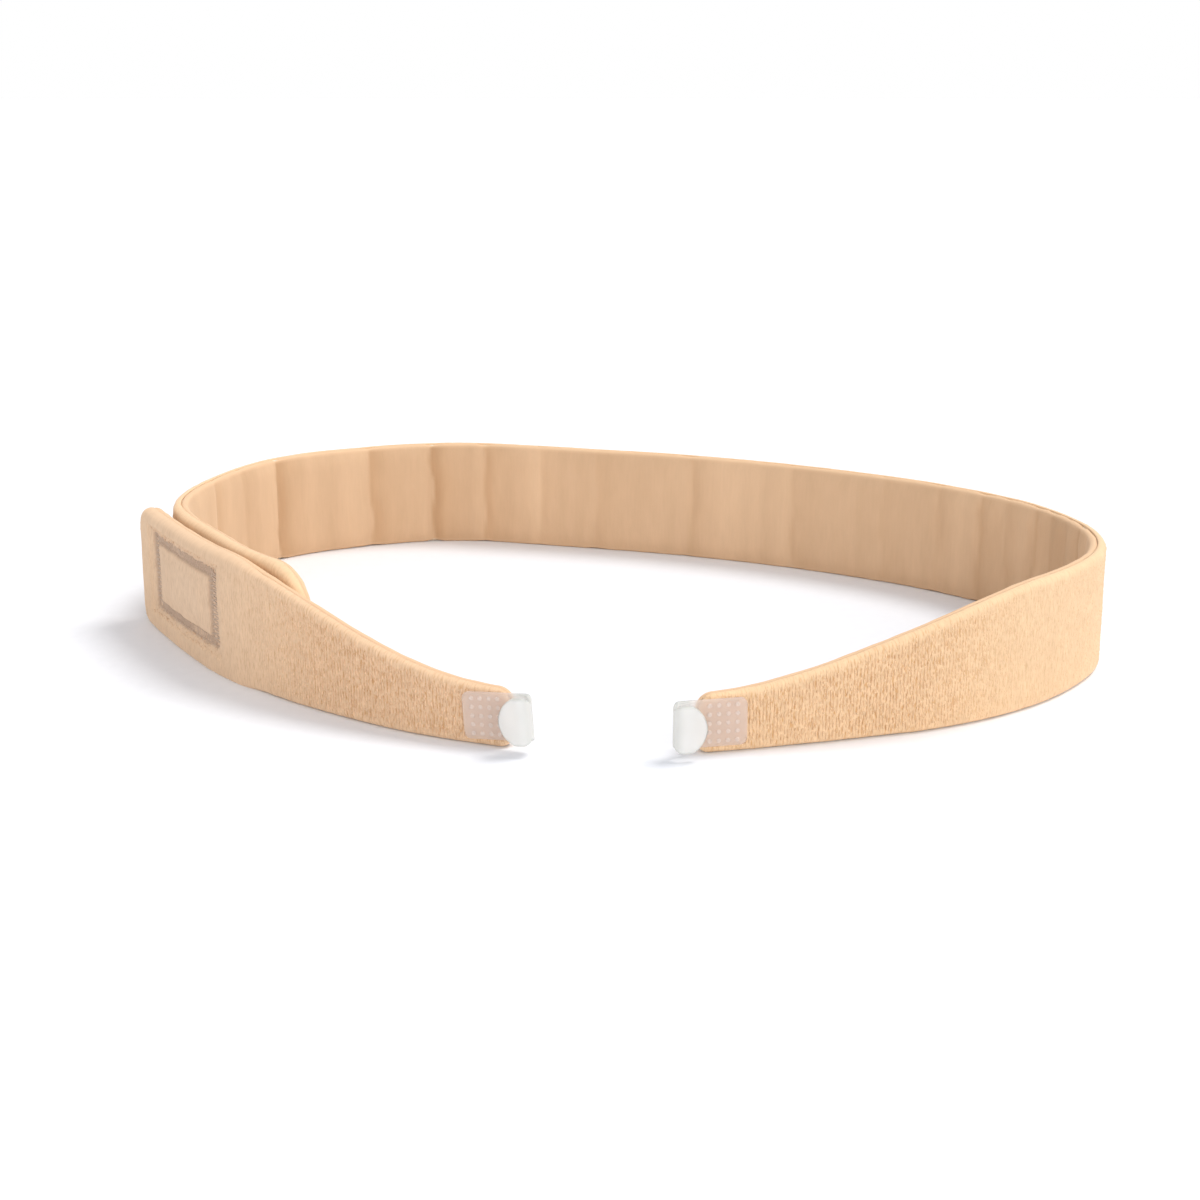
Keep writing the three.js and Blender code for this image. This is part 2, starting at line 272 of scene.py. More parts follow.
def corner_inset(radius, away):
    """How far a rounded corner has drawn in, at a distance from the edge it starts at."""
    across = np.clip(radius - away, 0, radius)
    return radius - np.sqrt(radius * radius - across * across)


def bump(x):
    """A rounded hump that is 1 at 0 and 0 beyond 1 either way."""
    return smooth(1 - np.abs(x))


def waves(s, z, pitch_s, pitch_z, seed):
    """Smooth random relief from -1 to 1, with bumps of about the given pitch."""
    table = np.random.RandomState(seed).uniform(-1, 1, (1024, 128))
    u, v = s / pitch_s + 5, z / pitch_z + 5
    i, j = np.floor(u).astype(int), np.floor(v).astype(int)
    a, b = smooth(u - i), smooth(v - j)

    def corner(di, dj):
        return table[(i + di) % 1024, (j + dj) % 128]

    low = corner(0, 0) * (1 - a) + corner(1, 0) * a
    high = corner(0, 1) * (1 - a) + corner(1, 1) * a
    return low * (1 - b) + high * b


class Strap:
    """A strap that is laid out flat, with s along it, z up it and h out of its skin."""

    def __init__(self, path, height, start, end):
        self.path, self.height, self.length = path, height, path.length
        self.corners = [(0, start), (1, end)]

    def limits(self, s, margin):
        """Lowest and highest z at s of the flat outline grown by margin."""
        low, high = 0 * s - margin, self.height(s) + margin
        for end, (low_corner, high_corner) in self.corners:
            away = margin + (self.length - s if end else s)
            for radius, sign in ((low_corner + margin, 1), (high_corner + margin, -1)):
                inset = corner_inset(radius, away)
                low, high = (low + inset, high) if sign > 0 else (low, high - inset)
        return low, high

    def edge(self, s, z):
        """How far a point is inside the outline, and the way inwards from there."""
        top = self.height(s)
        ways = [(z, 0, 1), (top - z, 0, -1), (s, 1, 0), (self.length - s, -1, 0)]
        distance, way_s, way_z = ways[0][0] + 0 * s, 0 * s, 0 * s + 1
        for away, ds, dz in ways[1:]:
            nearer = away < distance
            distance = np.where(nearer, away, distance)
            way_s, way_z = np.where(nearer, ds, way_s), np.where(nearer, dz, way_z)
        for end, radii in self.corners:
            a = self.length - s if end else s
            for radius, b, dz in zip(radii, (z, top - z), (1, -1)):
                inside = (a < radius) & (b < radius)
                reach = np.hypot(radius - a, radius - b) + 1e-12
                distance = np.where(inside, radius - reach, distance)
                way_s = np.where(inside, (radius - a) / reach * (-1 if end else 1), way_s)
                way_z = np.where(inside, (radius - b) / reach * dz, way_z)
        return distance, way_s, way_z

    def skin(self, s, h, z, side):
        """Points of the flat sheet, brought round the strap's edges to its seam."""
        distance, way_s, way_z = self.edge(s, z)
        rounding = EDGE_ROUND[side]
        on_edge = distance < rounding
        share = np.clip((rounding - distance) / (rounding + SEAM_REACH[side]), 0, 1)
        turn = math.pi / 2 - share * (math.pi / 2 + SEAM_ANGLE[side])
        q = np.where(on_edge, rounding - (rounding + h) * np.cos(turn), distance)
        n = np.where(on_edge, HALF - rounding + (rounding + h) * np.sin(turn), HALF + h)
        return s + way_s * (q - distance), side * n, z + way_z * (q - distance)

    def dress(self, flat, side):
        """Flat points [s, h, z] on the band as it stands, [x, y, z]."""
        return self.path.place(*self.skin(*flat.T, side))


def band_height(from_tab):
    return TAB_WIDTH + (BAND_WIDTH - TAB_WIDTH) * smooth(from_tab / TAPER)


LONG_PATH = StrapPath(LONG_START, LONG_BENDS)
SHORT_PATH = StrapPath(SHORT_START, SHORT_BENDS)
LONG = Strap(LONG_PATH, band_height, TAB_CORNERS, LONG_END_CORNERS)
SHORT = Strap(
    SHORT_PATH, lambda s: band_height(SHORT_PATH.length - s), SHORT_END_CORNERS, TAB_CORNERS)


# ------------------------------------------------------------------ meshes
def coordinates(mesh):
    co = np.zeros(len(mesh.vertices) * 3, np.float32)
    mesh.vertices.foreach_get("co", co)
    return co.reshape(-1, 3).astype(float)


def set_coordinates(mesh, co):
    mesh.vertices.foreach_set("co", np.asarray(co, np.float32).ravel())
    mesh.update()


def new_object(name, bm):
    """A linked object of a bmesh, which is freed."""
    mesh = bpy.data.meshes.new(name)
    bm.to_mesh(mesh)
    bm.free()
    obj = bpy.data.objects.new(name, mesh)
    bpy.context.scene.collection.objects.link(obj)
    return obj


def keep_cloth_coordinates(mesh, flat):
    """Store each vertex's place on the flat cloth, which the materials follow."""
    cloth = mesh.attributes.new("cloth", "FLOAT_VECTOR", "POINT")
    cloth.data.foreach_set("vector", np.asarray(flat, np.float32).ravel())


def keep_value(mesh, name, values):
    """Store one number for each vertex, which a material reads."""
    made = mesh.attributes.new(name, "FLOAT", "POINT")
    made.data.foreach_set("value", np.asarray(values, np.float32).ravel())


def face_out(obj, smooth_shading=True):
    """Turn the faces of closed bodies outwards and set their shading."""
    bm = bmesh.new()
    bm.from_mesh(obj.data)
    bmesh.ops.recalc_face_normals(bm, faces=bm.faces[:])
    bm.to_mesh(obj.data)
    bm.free()
    obj.data.polygons.foreach_set("use_smooth", [smooth_shading] * len(obj.data.polygons))
    return obj


def spread(first, last, step, fine=0.0, fine_step=0.0):
    """Places from first to last, a step apart, and closer within fine of both ends."""
    middle = np.linspace(first + fine, last - fine, max(2, round((last - first - 2 * fine) / step) + 1))
    if not fine:
        return middle
    count = max(2, round(fine / fine_step))
    return np.concatenate([
        np.linspace(first, first + fine, count + 1)[:-1], middle,
        np.linspace(last - fine, last, count + 1)[1:],
    ])


def thicken(bm, offset):
    """Give a sheet a second face, offset from its first, and walls between the two."""
    made = bmesh.ops.extrude_face_region(bm, geom=bm.faces[:], use_keep_orig=True)
    inner = [e for e in made["geom"] if isinstance(e, bmesh.types.BMVert)]
    bmesh.ops.translate(bm, verts=inner, vec=offset)


def sheet(name, strap, side, step, across, thickness=0.0):
    """A flat sheet of fabric that fills a strap's outline out to its seam: a grid
    whose columns stand a step apart, with a number of rows across, given a wall."""
    margin = SEAM_REACH[side]
    s_list = spread(-margin, strap.length + margin, step, 6 * MM, 0.4 * MM)
    bm = bmesh.new()
    bmesh.ops.create_grid(bm, x_segments=len(s_list) - 1, y_segments=across, size=0.5)
    if thickness:
        thicken(bm, (0, 0, -thickness))
    obj = new_object(name, bm)
    co = coordinates(obj.data)
    i = np.rint((co[:, 0] + 0.5) * (len(s_list) - 1)).astype(int)
    j = np.rint((co[:, 1] + 0.5) * across).astype(int)
    s = s_list[i]
    low, high = strap.limits(s, margin)
    # rows gather where the sheet turns over the long edges
    turn = margin + EDGE_ROUND[side]
    rows = max(3, round(across * 0.14))
    z = np.where(
        j <= rows, low + turn * j / rows,
        np.where(j >= across - rows, high - turn * (across - j) / rows,
                 low + turn + (high - low - 2 * turn) * (j - rows) / (across - 2 * rows)))
    set_coordinates(obj.data, np.stack([s, co[:, 2], z], -1))
    return obj


def copies(name, bm, count):
    """One mesh that holds many copies of a small one, all in the same place."""
    obj = new_object(name, bm)
    array = obj.modifiers.new("copies", "ARRAY")
    array.count = count
    array.use_relative_offset = False
    shown = obj.evaluated_get(bpy.context.evaluated_depsgraph_get())
    mesh = bpy.data.meshes.new_from_object(shown)
    obj.modifiers.clear()
    obj.data = mesh
    return obj


def finish(obj, material, replaced=()):
    """Give a finished piece its material and hide the CAD nodes it replaces."""
    obj.data.materials.clear()
    obj.data.materials.append(material)
    if replaced:
        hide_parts(*replaced)
    return obj


def bend_right(obj):
    """Bake a piece of the long strap's transform into its mesh."""
    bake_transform(obj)


def bend_left(obj):
    """Bake a piece of the short strap's transform into its mesh."""
    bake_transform(obj)


# ------------------------------------------------------------------ relief
def seam_ring(s, z, grow=0.0):
    """How far a point of the short strap lies inside the sewn rectangle's edge."""
    across = np.minimum(s - SEAM_FROM, SEAM_TO - s) / SEAM_END_WIDER
    up = np.minimum(z - SEAM_LOW, SEAM_HIGH - z)
    return np.minimum(across, up) + grow


def seam_groove(s, z):
    """1 in the groove that the stitching pulls into the short strap, 0 beside it."""
    ring = seam_ring(s, z) + 0.2 * MM * waves(s, z, 1.1 * MM, 1.1 * MM, 8)
    return smooth(ring / (0.9 * MM)) * smooth((SEAM_WIDTH - ring) / (0.8 * MM))


def plate_cover(strap, s, z):
    """1 under a hook's plate, 0 away from it."""
    at = s if strap is LONG else strap.length - s
    return smooth((PLATE_LENGTH + 0.5 * MM - at) / (0.9 * MM)) * smooth(
        (HOOK_HEIGHT / 2 + 0.35 * MM - np.abs(z - HOOK_MIDDLE)) / (0.8 * MM))


def facing_relief(strap, s, z):
    """Height of the terry's ground above the strap's plain outer skin."""
    uneven = 0.12 * MM * waves(s, z, 6 * MM, 9 * MM, 3)
    uneven += 0.06 * MM * waves(s, z, 1.5 * MM, 3.0 * MM, 4)
    uneven += 0.03 * MM * waves(s, z, 0.8 * MM, 1.8 * MM, 5)
    under_plate = plate_cover(strap, s, z)
    at_rim = smooth(strap.edge(s, z)[0] / (2.5 * MM))
    relief = uneven * (1 - under_plate) * (0.35 + 0.65 * at_rim) - 0.36 * MM * under_plate
    if strap is LONG:
        relief += closure_bulge(strap, s, z)
    if strap is SHORT:
        ring = seam_ring(s, z)
        relief -= SEAM_DEPTH * seam_groove(s, z)
        relief += 0.5 * MM * smooth((ring - SEAM_WIDTH) / (3 * MM))
        pucker = bump((ring + 1.0 * MM) / (2.2 * MM))
        relief += 0.12 * MM * pucker * waves(s, z, 2.2 * MM, 2.2 * MM, 9)
        relief += 0.65 * MM * smooth((ring + 9 * MM) / (5 * MM)) * smooth(-ring / (1.5 * MM))
    return relief


def pile_opening(strap, s):
    """1 where the loops stand open, near a hook, and less where they lie closer."""
    from_tab = s if strap is LONG else strap.length - s
    closed = 0.65 if strap is LONG else 0.82
    return 1 - closed * smooth((from_tab - 34 * MM) / (40 * MM))


def greying_amount(strap, s, z):
    """How far the short strap is tinted greyer and cooler: fully in and near the sewn rectangle, and partly
    towards its closure end.
    """
    if strap is LONG:
        return 0 * s
    return np.maximum(0.4 * smooth((88 * MM - s) / (40 * MM)),
                      smooth((seam_ring(s, z) + 2 * MM) / (3 * MM)))


def rim_tone(strap, s, z, side):
    """1 on the strap's long edges, where the fabric turns over and catches the light."""
    return 1 - smooth((strap.edge(s, z)[0] - 0.1 * MM) / EDGE_ROUND[side])


def closure_bulge(strap, s, z):
    """How far the fabric swells out round the hook tape, where the straps press together."""
    if strap is LONG:
        return 0.35 * MM * smooth((s - 392 * MM) / (14 * MM))
    off = np.maximum(np.maximum(TAPE_FROM - s, s - TAPE_TO), np.maximum(TAPE_LOW - z, z - TAPE_HIGH))
    return 0.5 * MM * smooth(off / (1.4 * MM)) * smooth((70 * MM - s) / (20 * MM))


def crease_depth(s, z):
    """Depth of the creases pressed into the long strap's lining."""
    depth = 0 * s
    for place, deep in CREASES:
        drift = 0.7 * MM * waves(z, 0 * z, 7 * MM, 1, int(place))
        depth = np.maximum(depth, deep * MM * bump((s - place * MM - drift) / (1.5 * MM)))
    return depth


def crease_shade_tone(s, z):
    """How much painted shade lies beside the lining's creases: hard against a crease, fading to one side."""
    tone = 0 * s
    for place, deep in CREASES:
        away = (place + 0.7 * waves(z, 0 * z, 7 * MM, 1, int(place))) * MM - s
        near = smooth(away / CREASE_EDGE + 0.5) * np.exp(-np.maximum(away, 0) / CREASE_FADE)
        tone = np.maximum(tone, deep / 0.75 * near)
    return tone


def panel_slope(s):
    """The panels between creases lie like shingles: each stands off at its near end."""
    slope = 0 * s
    places = [place * MM for place, _ in CREASES]
    for (near, deep), far in zip(CREASES, places[1:]):
        near = near * MM
        share = np.clip((s - near) / (far - near), 0, 1)
        on_panel = (s >= near) & (s < far)
        rise = 0.6 * deep * MM * (0.5 - share) * smooth((s - near) / (1.6 * MM))
        slope = np.where(on_panel, rise, slope)
    return slope


# ------------------------------------------------------------------ cloth simulation
SIM_SCALE = 100                 # one metre of simulated cloth is a centimetre
SIM_FRAMES = 18
SIM_STEP = 1.7 * MM
SIM_ACROSS = 18


def simulate_puff(strap):
    """Blow the lining out against its foam: the sheet is held along its seam and its
    creases and is a little too large for its place, as it is inside a bend.
    Returns the sheet's object with the puffed shape, still flat."""
    obj = sheet("lining_sim", strap, INSIDE, SIM_STEP, SIM_ACROSS)
    flat = coordinates(obj.data)
    s, z = flat[:, 0], flat[:, 2]
    distance = strap.edge(s, z)[0]
    crease = crease_depth(s, z) if strap is LONG else 0 * s
    held = ((distance < EDGE_ROUND[INSIDE] + 0.3 * MM) | (crease > 0.16 * MM)).astype(float)
    start = np.stack([s, -crease, z], -1)
    set_coordinates(obj.data, start * SIM_SCALE)
    group = obj.vertex_groups.new(name="held")
    for value in (0.0, 1.0):
        group.add([int(i) for i in np.flatnonzero(held == value)], value, "REPLACE")
    cloth = obj.modifiers.new("cloth", "CLOTH")
    settings = cloth.settings
    settings.quality = 6
    settings.mass = 0.2
    settings.tension_stiffness = 20
    settings.compression_stiffness = 20
    settings.bending_stiffness = 0.25
    settings.vertex_group_mass = "held"
    settings.shrink_min = -0.035
    settings.effector_weights.gravity = 0
    settings.use_pressure = True
    settings.uniform_pressure_force = -2.2
    cloth.point_cache.frame_start = 1
    cloth.point_cache.frame_end = SIM_FRAMES
    scene = bpy.context.scene
    for number in range(1, SIM_FRAMES + 1):
        scene.frame_set(number)
    shown = obj.evaluated_get(bpy.context.evaluated_depsgraph_get())
    puffed = coordinates(shown.data) / SIM_SCALE
    obj.modifiers.clear()
    scene.frame_set(1)
    moved = puffed - start
    moved[:, 0] = np.clip(moved[:, 0], -0.3 * MM, 0.3 * MM)
    moved[:, 1] = np.clip(moved[:, 1], -0.5 * MM, 0.6 * MM)
    moved[:, 2] = np.clip(moved[:, 2], -0.3 * MM, 0.3 * MM)
    set_coordinates(obj.data, start + moved)
    return obj


# ------------------------------------------------------------------ materials
# The Mix node's colour sockets, by their place in it, and its two ways of mixing
FACTOR, FIRST, SECOND, MIXED = 0, 6, 7, 2
COVER = {"data_type": "RGBA"}
MULTIPLY = {"data_type": "RGBA", "blend_type": "MULTIPLY"}


def add_node(tree, kind, inputs=None, stops=(), **settings):
    """Add a node and set its properties. An input is given a value, or a socket to be
    linked to, and a ramp is given its [position, colour] stops."""
    node = tree.nodes.new(kind)
    for name, value in settings.items():
        setattr(node, name, value)
    for key, value in (inputs or {}).items():
        if isinstance(value, bpy.types.NodeSocket):
            tree.links.new(value, node.inputs[key])
        else:
            node.inputs[key].default_value = value
    for index, (position, colour) in enumerate(stops):
        elements = node.color_ramp.elements
        element = elements[index] if index < len(elements) else elements.new(position)
        element.position, element.color = position, colour
    return node


def start_material(name):
    material = bpy.data.materials.get(name) or bpy.data.materials.new(name)
    material.use_nodes = True
    material.node_tree.nodes.clear()
    return material, material.node_tree


def shade(code, factors):
    """A hex colour times one factor, or one for each channel, as linear RGBA."""
    return (*np.minimum(1, np.multiply(linear(code)[:3], factors)).tolist(), 1)


def cloth_pattern(tree, width, height, detail=2.0, rough=0.5):
    """Noise in the cloth's own coordinates, with features of a width and height."""
    place = add_node(tree, "ShaderNodeAttribute", attribute_name="cloth")
    scaled = add_node(tree, "ShaderNodeMapping", {
        "Vector": place.outputs["Vector"], "Scale": (1 / width, 1 / width, 1 / height)})
    return add_node(tree, "ShaderNodeTexNoise", {
        "Vector": scaled.outputs["Vector"], "Scale": 1.0, "Detail": detail, "Roughness": rough,
    }).outputs["Fac"]


def terry_material(name, code):
    """Cotton-blend terry, weft-knitted with its loops left uncut: no gloss, a soft
    bloom at grazing angles, and rows of loops that run up the strap, with painted shade between them and a
    painted highlight on them.
    The loops stand open near the hooks and lie closer further from them, and the short strap is tinted
    greyer towards its closure end."""
    material, tree = start_material(name)
    loops = cloth_pattern(tree, 0.36 * MM, 1.6 * MM, 2, 0.55)      # yarn 0.35 mm thick
    clumps = cloth_pattern(tree, 2.4 * MM, 3.6 * MM)               # loops that lean together
    broad = cloth_pattern(tree, 16 * MM, 20 * MM, 1)
    opened, greying, sewn, rim = [
        add_node(tree, "ShaderNodeAttribute", attribute_name=name).outputs["Fac"]
        for name in ("open", "greying", "sewn", "rim")
    ]
    # painted shade in the gaps between the loops and a painted highlight on them where the loops stand open;
    # the flat ramp is a milder copy
    deep = add_node(tree, "ShaderNodeValToRGB", {"Fac": loops}, [
        [0.34, shade(code, GAP_SHADE_TINT)], [0.48, shade(code, 0.96)], [0.66, shade(code, 1.10)]])
    flat = add_node(tree, "ShaderNodeValToRGB", {"Fac": loops}, [
        [0.34, shade(code, 0.93)], [0.66, shade(code, 1.03)]])
    base = add_node(tree, "ShaderNodeMix", {
        FACTOR: opened, FIRST: flat.outputs["Color"], SECOND: deep.outputs["Color"],
    }, **COVER)
    tone = add_node(tree, "ShaderNodeValToRGB", {"Fac": clumps}, [
        [0.35, (0.95, 0.94, 0.93, 1)], [0.65, (1.02, 1.02, 1.02, 1)]])
    wide = add_node(tree, "ShaderNodeValToRGB", {"Fac": broad}, [
        [0.35, (0.95, 0.94, 0.93, 1)], [0.65, (1, 1, 1, 1)]])
    mixed = base
    # the groove colour mixed in here is partly painted shade in the stitched groove
    for share, colour, way in (
            (0.8, tone.outputs["Color"], MULTIPLY), (0.7, wide.outputs["Color"], MULTIPLY),
            (greying, GREYING_TINT, MULTIPLY), (rim, shade(code, RIM_LIGHTER), COVER),
            (sewn, linear(colours().groove), COVER)):
        mixed = add_node(tree, "ShaderNodeMix", {
            FACTOR: share, FIRST: mixed.outputs[MIXED], SECOND: colour}, **way)
    fibres = cloth_pattern(tree, 0.16 * MM, 0.5 * MM)
    fine = add_node(tree, "ShaderNodeBump", {
        "Height": fibres, "Strength": 0.3, "Distance": 0.08 * MM})
    coarse = add_node(tree, "ShaderNodeBump", {
        "Height": loops, "Normal": fine.outputs["Normal"], "Strength": 0.35, "Distance": 0.2 * MM})
    cloth = add_node(tree, "ShaderNodeBsdfPrincipled", {
        "Base Color": mixed.outputs[MIXED], "Normal": coarse.outputs["Normal"],
        "Roughness": 0.95, "Specular IOR Level": 0.2,
        "Sheen Weight": 0.35, "Sheen Roughness": 0.5, "Sheen Tint": linear(SHEEN_TINT)})
    add_node(tree, "ShaderNodeOutputMaterial", {"Surface": cloth.outputs["BSDF"]})
    return material


def pile_material(name, code):
    """The terry's own uncut yarn loops: each loop takes the dye a little differently."""
    material, tree = start_material(name)
    tuft = add_node(tree, "ShaderNodeAttribute", attribute_name="tuft")
    greying = add_node(tree, "ShaderNodeAttribute", attribute_name="greying")
    base = add_node(tree, "ShaderNodeValToRGB", {"Fac": tuft.outputs["Fac"]}, [
        [0.0, shade(code, (0.90, 0.82, 0.74))], [0.5, shade(code, 1.0)], [1.0, shade(code, 1.12)]])
    mixed = add_node(tree, "ShaderNodeMix", {
        FACTOR: greying.outputs["Fac"], FIRST: base.outputs["Color"], SECOND: GREYING_TINT,
    }, **MULTIPLY)
    fibres = cloth_pattern(tree, 0.12 * MM, 0.3 * MM)
    fine = add_node(tree, "ShaderNodeBump", {
        "Height": fibres, "Strength": 0.5, "Distance": 0.05 * MM})
    yarn = add_node(tree, "ShaderNodeBsdfPrincipled", {
        "Base Color": mixed.outputs[MIXED], "Normal": fine.outputs["Normal"],
        "Roughness": 0.9, "Specular IOR Level": 0.2,
        "Sheen Weight": 0.4, "Sheen Roughness": 0.5, "Sheen Tint": linear(SHEEN_TINT)})
    add_node(tree, "ShaderNodeOutputMaterial", {"Surface": yarn.outputs["BSDF"]})
    return material


def lining_material(code):
    """Brushed polyester knit, raised on a wire roller: matt, with faint upright wales
    and a short nap, with painted shade beside the creases."""
    material, tree = start_material("lining_brushed_knit")
    wales = cloth_pattern(tree, 0.5 * MM, 6 * MM)                  # wales 0.5 mm apart
    nap = cloth_pattern(tree, 3 * MM, 9 * MM, 3)
    broad = cloth_pattern(tree, 12 * MM, 90 * MM)
    # the pressed attribute carries painted shade beside the creases
    pressed = add_node(tree, "ShaderNodeAttribute", attribute_name="pressed")
    rim = add_node(tree, "ShaderNodeAttribute", attribute_name="rim")
    base = add_node(tree, "ShaderNodeValToRGB", {"Fac": wales}, [
        [0.3, shade(code, 0.985)], [0.7, shade(code, 1.015)]])
    tone = add_node(tree, "ShaderNodeValToRGB", {"Fac": nap}, [
        [0.3, (0.96, 0.95, 0.94, 1)], [0.7, (1.02, 1.02, 1.02, 1)]])
    mixed = add_node(tree, "ShaderNodeMix", {
        FACTOR: 0.8, FIRST: base.outputs["Color"], SECOND: tone.outputs["Color"],
    }, **MULTIPLY)
    wide = add_node(tree, "ShaderNodeValToRGB", {"Fac": broad}, [
        [0.3, (0.92, 0.90, 0.88, 1)], [0.7, (1.05, 1.05, 1.05, 1)]])
    for share, colour, way in (
            (1.0, wide.outputs["Color"], MULTIPLY), (pressed.outputs["Fac"], CREASE_SHADE_TINT, MULTIPLY),
            (rim.outputs["Fac"], shade(code, RIM_LIGHTER), COVER)):
        mixed = add_node(tree, "ShaderNodeMix", {
            FACTOR: share, FIRST: mixed.outputs[MIXED], SECOND: colour}, **way)
    fibres = cloth_pattern(tree, 0.25 * MM, 0.8 * MM, 3)
    fine = add_node(tree, "ShaderNodeBump", {
        "Height": fibres, "Strength": 0.5, "Distance": 0.08 * MM})
    cloth = add_node(tree, "ShaderNodeBsdfPrincipled", {
        "Base Color": mixed.outputs[MIXED], "Normal": fine.outputs["Normal"],
        "Roughness": 0.95, "Specular IOR Level": 0.2,
        "Sheen Weight": 0.3, "Sheen Roughness": 0.45, "Sheen Tint": linear("ffe6c8")})
    add_node(tree, "ShaderNodeOutputMaterial", {"Surface": cloth.outputs["BSDF"]})
    return material


def foam_material(code):
    """Open-cell polyurethane foam, split to a sheet: matt cut cells of about 0.4 mm."""
    material, tree = start_material("core_polyurethane_foam")
    place = add_node(tree, "ShaderNodeTexCoord")
    cells = add_node(tree, "ShaderNodeTexVoronoi", {
        "Vector": place.outputs["Object"], "Scale": 1 / (0.4 * MM)})
    base = add_node(tree, "ShaderNodeValToRGB", {"Fac": cells.outputs["Distance"]}, [
        [0.1, shade(code, 0.7)], [0.6, shade(code, 1.0)]])
    fine = add_node(tree, "ShaderNodeBump", {
        "Height": cells.outputs["Distance"], "Strength": 0.8, "Distance": 0.15 * MM})
    foam = add_node(tree, "ShaderNodeBsdfPrincipled", {
        "Base Color": base.outputs["Color"], "Normal": fine.outputs["Normal"],
        "Roughness": 0.95, "Specular IOR Level": 0.2})
    add_node(tree, "ShaderNodeOutputMaterial", {"Surface": foam.outputs["BSDF"]})
    return material


def tape_material(code):
    """Nylon hook tape: a plain woven ground of 0.35 mm yarns with a faint gloss."""
    material, tree = start_material("hook_tape_nylon")
    weave = cloth_pattern(tree, 0.35 * MM, 0.35 * MM, 1)
    base = add_node(tree, "ShaderNodeValToRGB", {"Fac": weave}, [
        [0.35, shade(code, 0.75)], [0.65, shade(code, 1.02)]])
    fine = add_node(tree, "ShaderNodeBump", {
        "Height": weave, "Strength": 0.6, "Distance": 0.1 * MM})
    nylon = add_node(tree, "ShaderNodeBsdfPrincipled", {
        "Base Color": base.outputs["Color"], "Normal": fine.outputs["Normal"], "Roughness": 0.5})
    add_node(tree, "ShaderNodeOutputMaterial", {"Surface": nylon.outputs["BSDF"]})
    return material


def thread_material(code):
    """Spun polyester sewing thread, two-ply: low sheen, with a fine twist."""
    material, tree = start_material("closure_thread_polyester")
    place = add_node(tree, "ShaderNodeTexCoord")
    twist = add_node(tree, "ShaderNodeTexNoise", {
        "Vector": place.outputs["Object"], "Scale": 1 / (0.2 * MM), "Detail": 1.0})
    base = add_node(tree, "ShaderNodeValToRGB", {"Fac": twist.outputs["Fac"]}, [
        [0.35, shade(code, 0.88)], [0.65, shade(code, 1.06)]])
    fine = add_node(tree, "ShaderNodeBump", {
        "Height": twist.outputs["Fac"], "Strength": 0.5, "Distance": 0.05 * MM})
    thread = add_node(tree, "ShaderNodeBsdfPrincipled", {
        "Base Color": base.outputs["Color"], "Normal": fine.outputs["Normal"],
        "Roughness": 0.75, "Sheen Weight": 0.2, "Sheen Roughness": 0.4})
    add_node(tree, "ShaderNodeOutputMaterial", {"Surface": thread.outputs["BSDF"]})
    return material


def moulding_material(code):
    """Unfilled polypropylene, injection-moulded in a fine-etched cavity: milky and
    translucent. Where it is welded to the fabric the haze clears and the fabric shows
    through; further from it the same wall looks almost opaque white."""
    material, tree = start_material("hook_polypropylene_moulded")
    place = add_node(tree, "ShaderNodeTexCoord")
    etch = add_node(tree, "ShaderNodeTexNoise", {
        "Vector": place.outputs["Object"], "Scale": 1 / (0.25 * MM), "Detail": 2.0})
    haze = add_node(tree, "ShaderNodeTexNoise", {
        "Vector": place.outputs["Object"], "Scale": 1 / (4 * MM), "Detail": 1.0})
    free = add_node(tree, "ShaderNodeAttribute", attribute_name="free")
    base = add_node(tree, "ShaderNodeValToRGB", {"Fac": haze.outputs["Fac"]}, [
        [0.3, shade(code, 0.95)], [0.7, shade(code, 1.0)]])
    # painted shade along the hook's outline and across its fold
    edge = add_node(tree, "ShaderNodeAttribute", attribute_name="edge")
    edge_shaded = add_node(tree, "ShaderNodeMix", {
        FACTOR: edge.outputs["Fac"], FIRST: base.outputs["Color"], SECOND: shade(code, EDGE_SHADE_TINT),
    }, **COVER)
    mixed = add_node(tree, "ShaderNodeMix", {
        FACTOR: free.outputs["Fac"], FIRST: linear(colours().weld), SECOND: edge_shaded.outputs[MIXED],
    }, **COVER)
    cover = add_node(tree, "ShaderNodeMapRange", {
        "Value": free.outputs["Fac"], "To Min": WELD_COVER, "To Max": FREE_COVER})
    fine = add_node(tree, "ShaderNodeBump", {
        "Height": etch.outputs["Fac"], "Strength": 0.12, "Distance": 0.03 * MM})
    plastic = add_node(tree, "ShaderNodeBsdfPrincipled", {
        "Base Color": mixed.outputs[MIXED], "Normal": fine.outputs["Normal"],
        "Alpha": cover.outputs["Result"], "Roughness": 0.36, "IOR": 1.49,
        "Subsurface Weight": 0.25, "Subsurface Scale": 1.5 * MM, "Subsurface Radius": (1.0, 0.9, 0.8)})
    add_node(tree, "ShaderNodeOutputMaterial", {"Surface": plastic.outputs["BSDF"]})
    return material


def floor_material():
    """Matt white paper sweep."""
    material, tree = start_material("studio_paper_white")
    place = add_node(tree, "ShaderNodeTexCoord")
    grain = add_node(tree, "ShaderNodeTexNoise", {
        "Vector": place.outputs["Object"], "Scale": 400.0, "Detail": 2.0})
    base = add_node(tree, "ShaderNodeValToRGB", {"Fac": grain.outputs["Fac"]}, [
        [0.3, linear(FLOOR_TONES[0])], [0.7, linear(FLOOR_TONES[1])]])
    paper = add_node(tree, "ShaderNodeBsdfPrincipled", {
        "Base Color": base.outputs["Color"], "Roughness": 0.9, "Specular IOR Level": 0.1})
    add_node(tree, "ShaderNodeOutputMaterial", {"Surface": paper.outputs["BSDF"]})
    return material


def colours():
    return bpy.context.scene.neck_band_colours


def sizes():
    return bpy.context.scene.neck_band_sizes


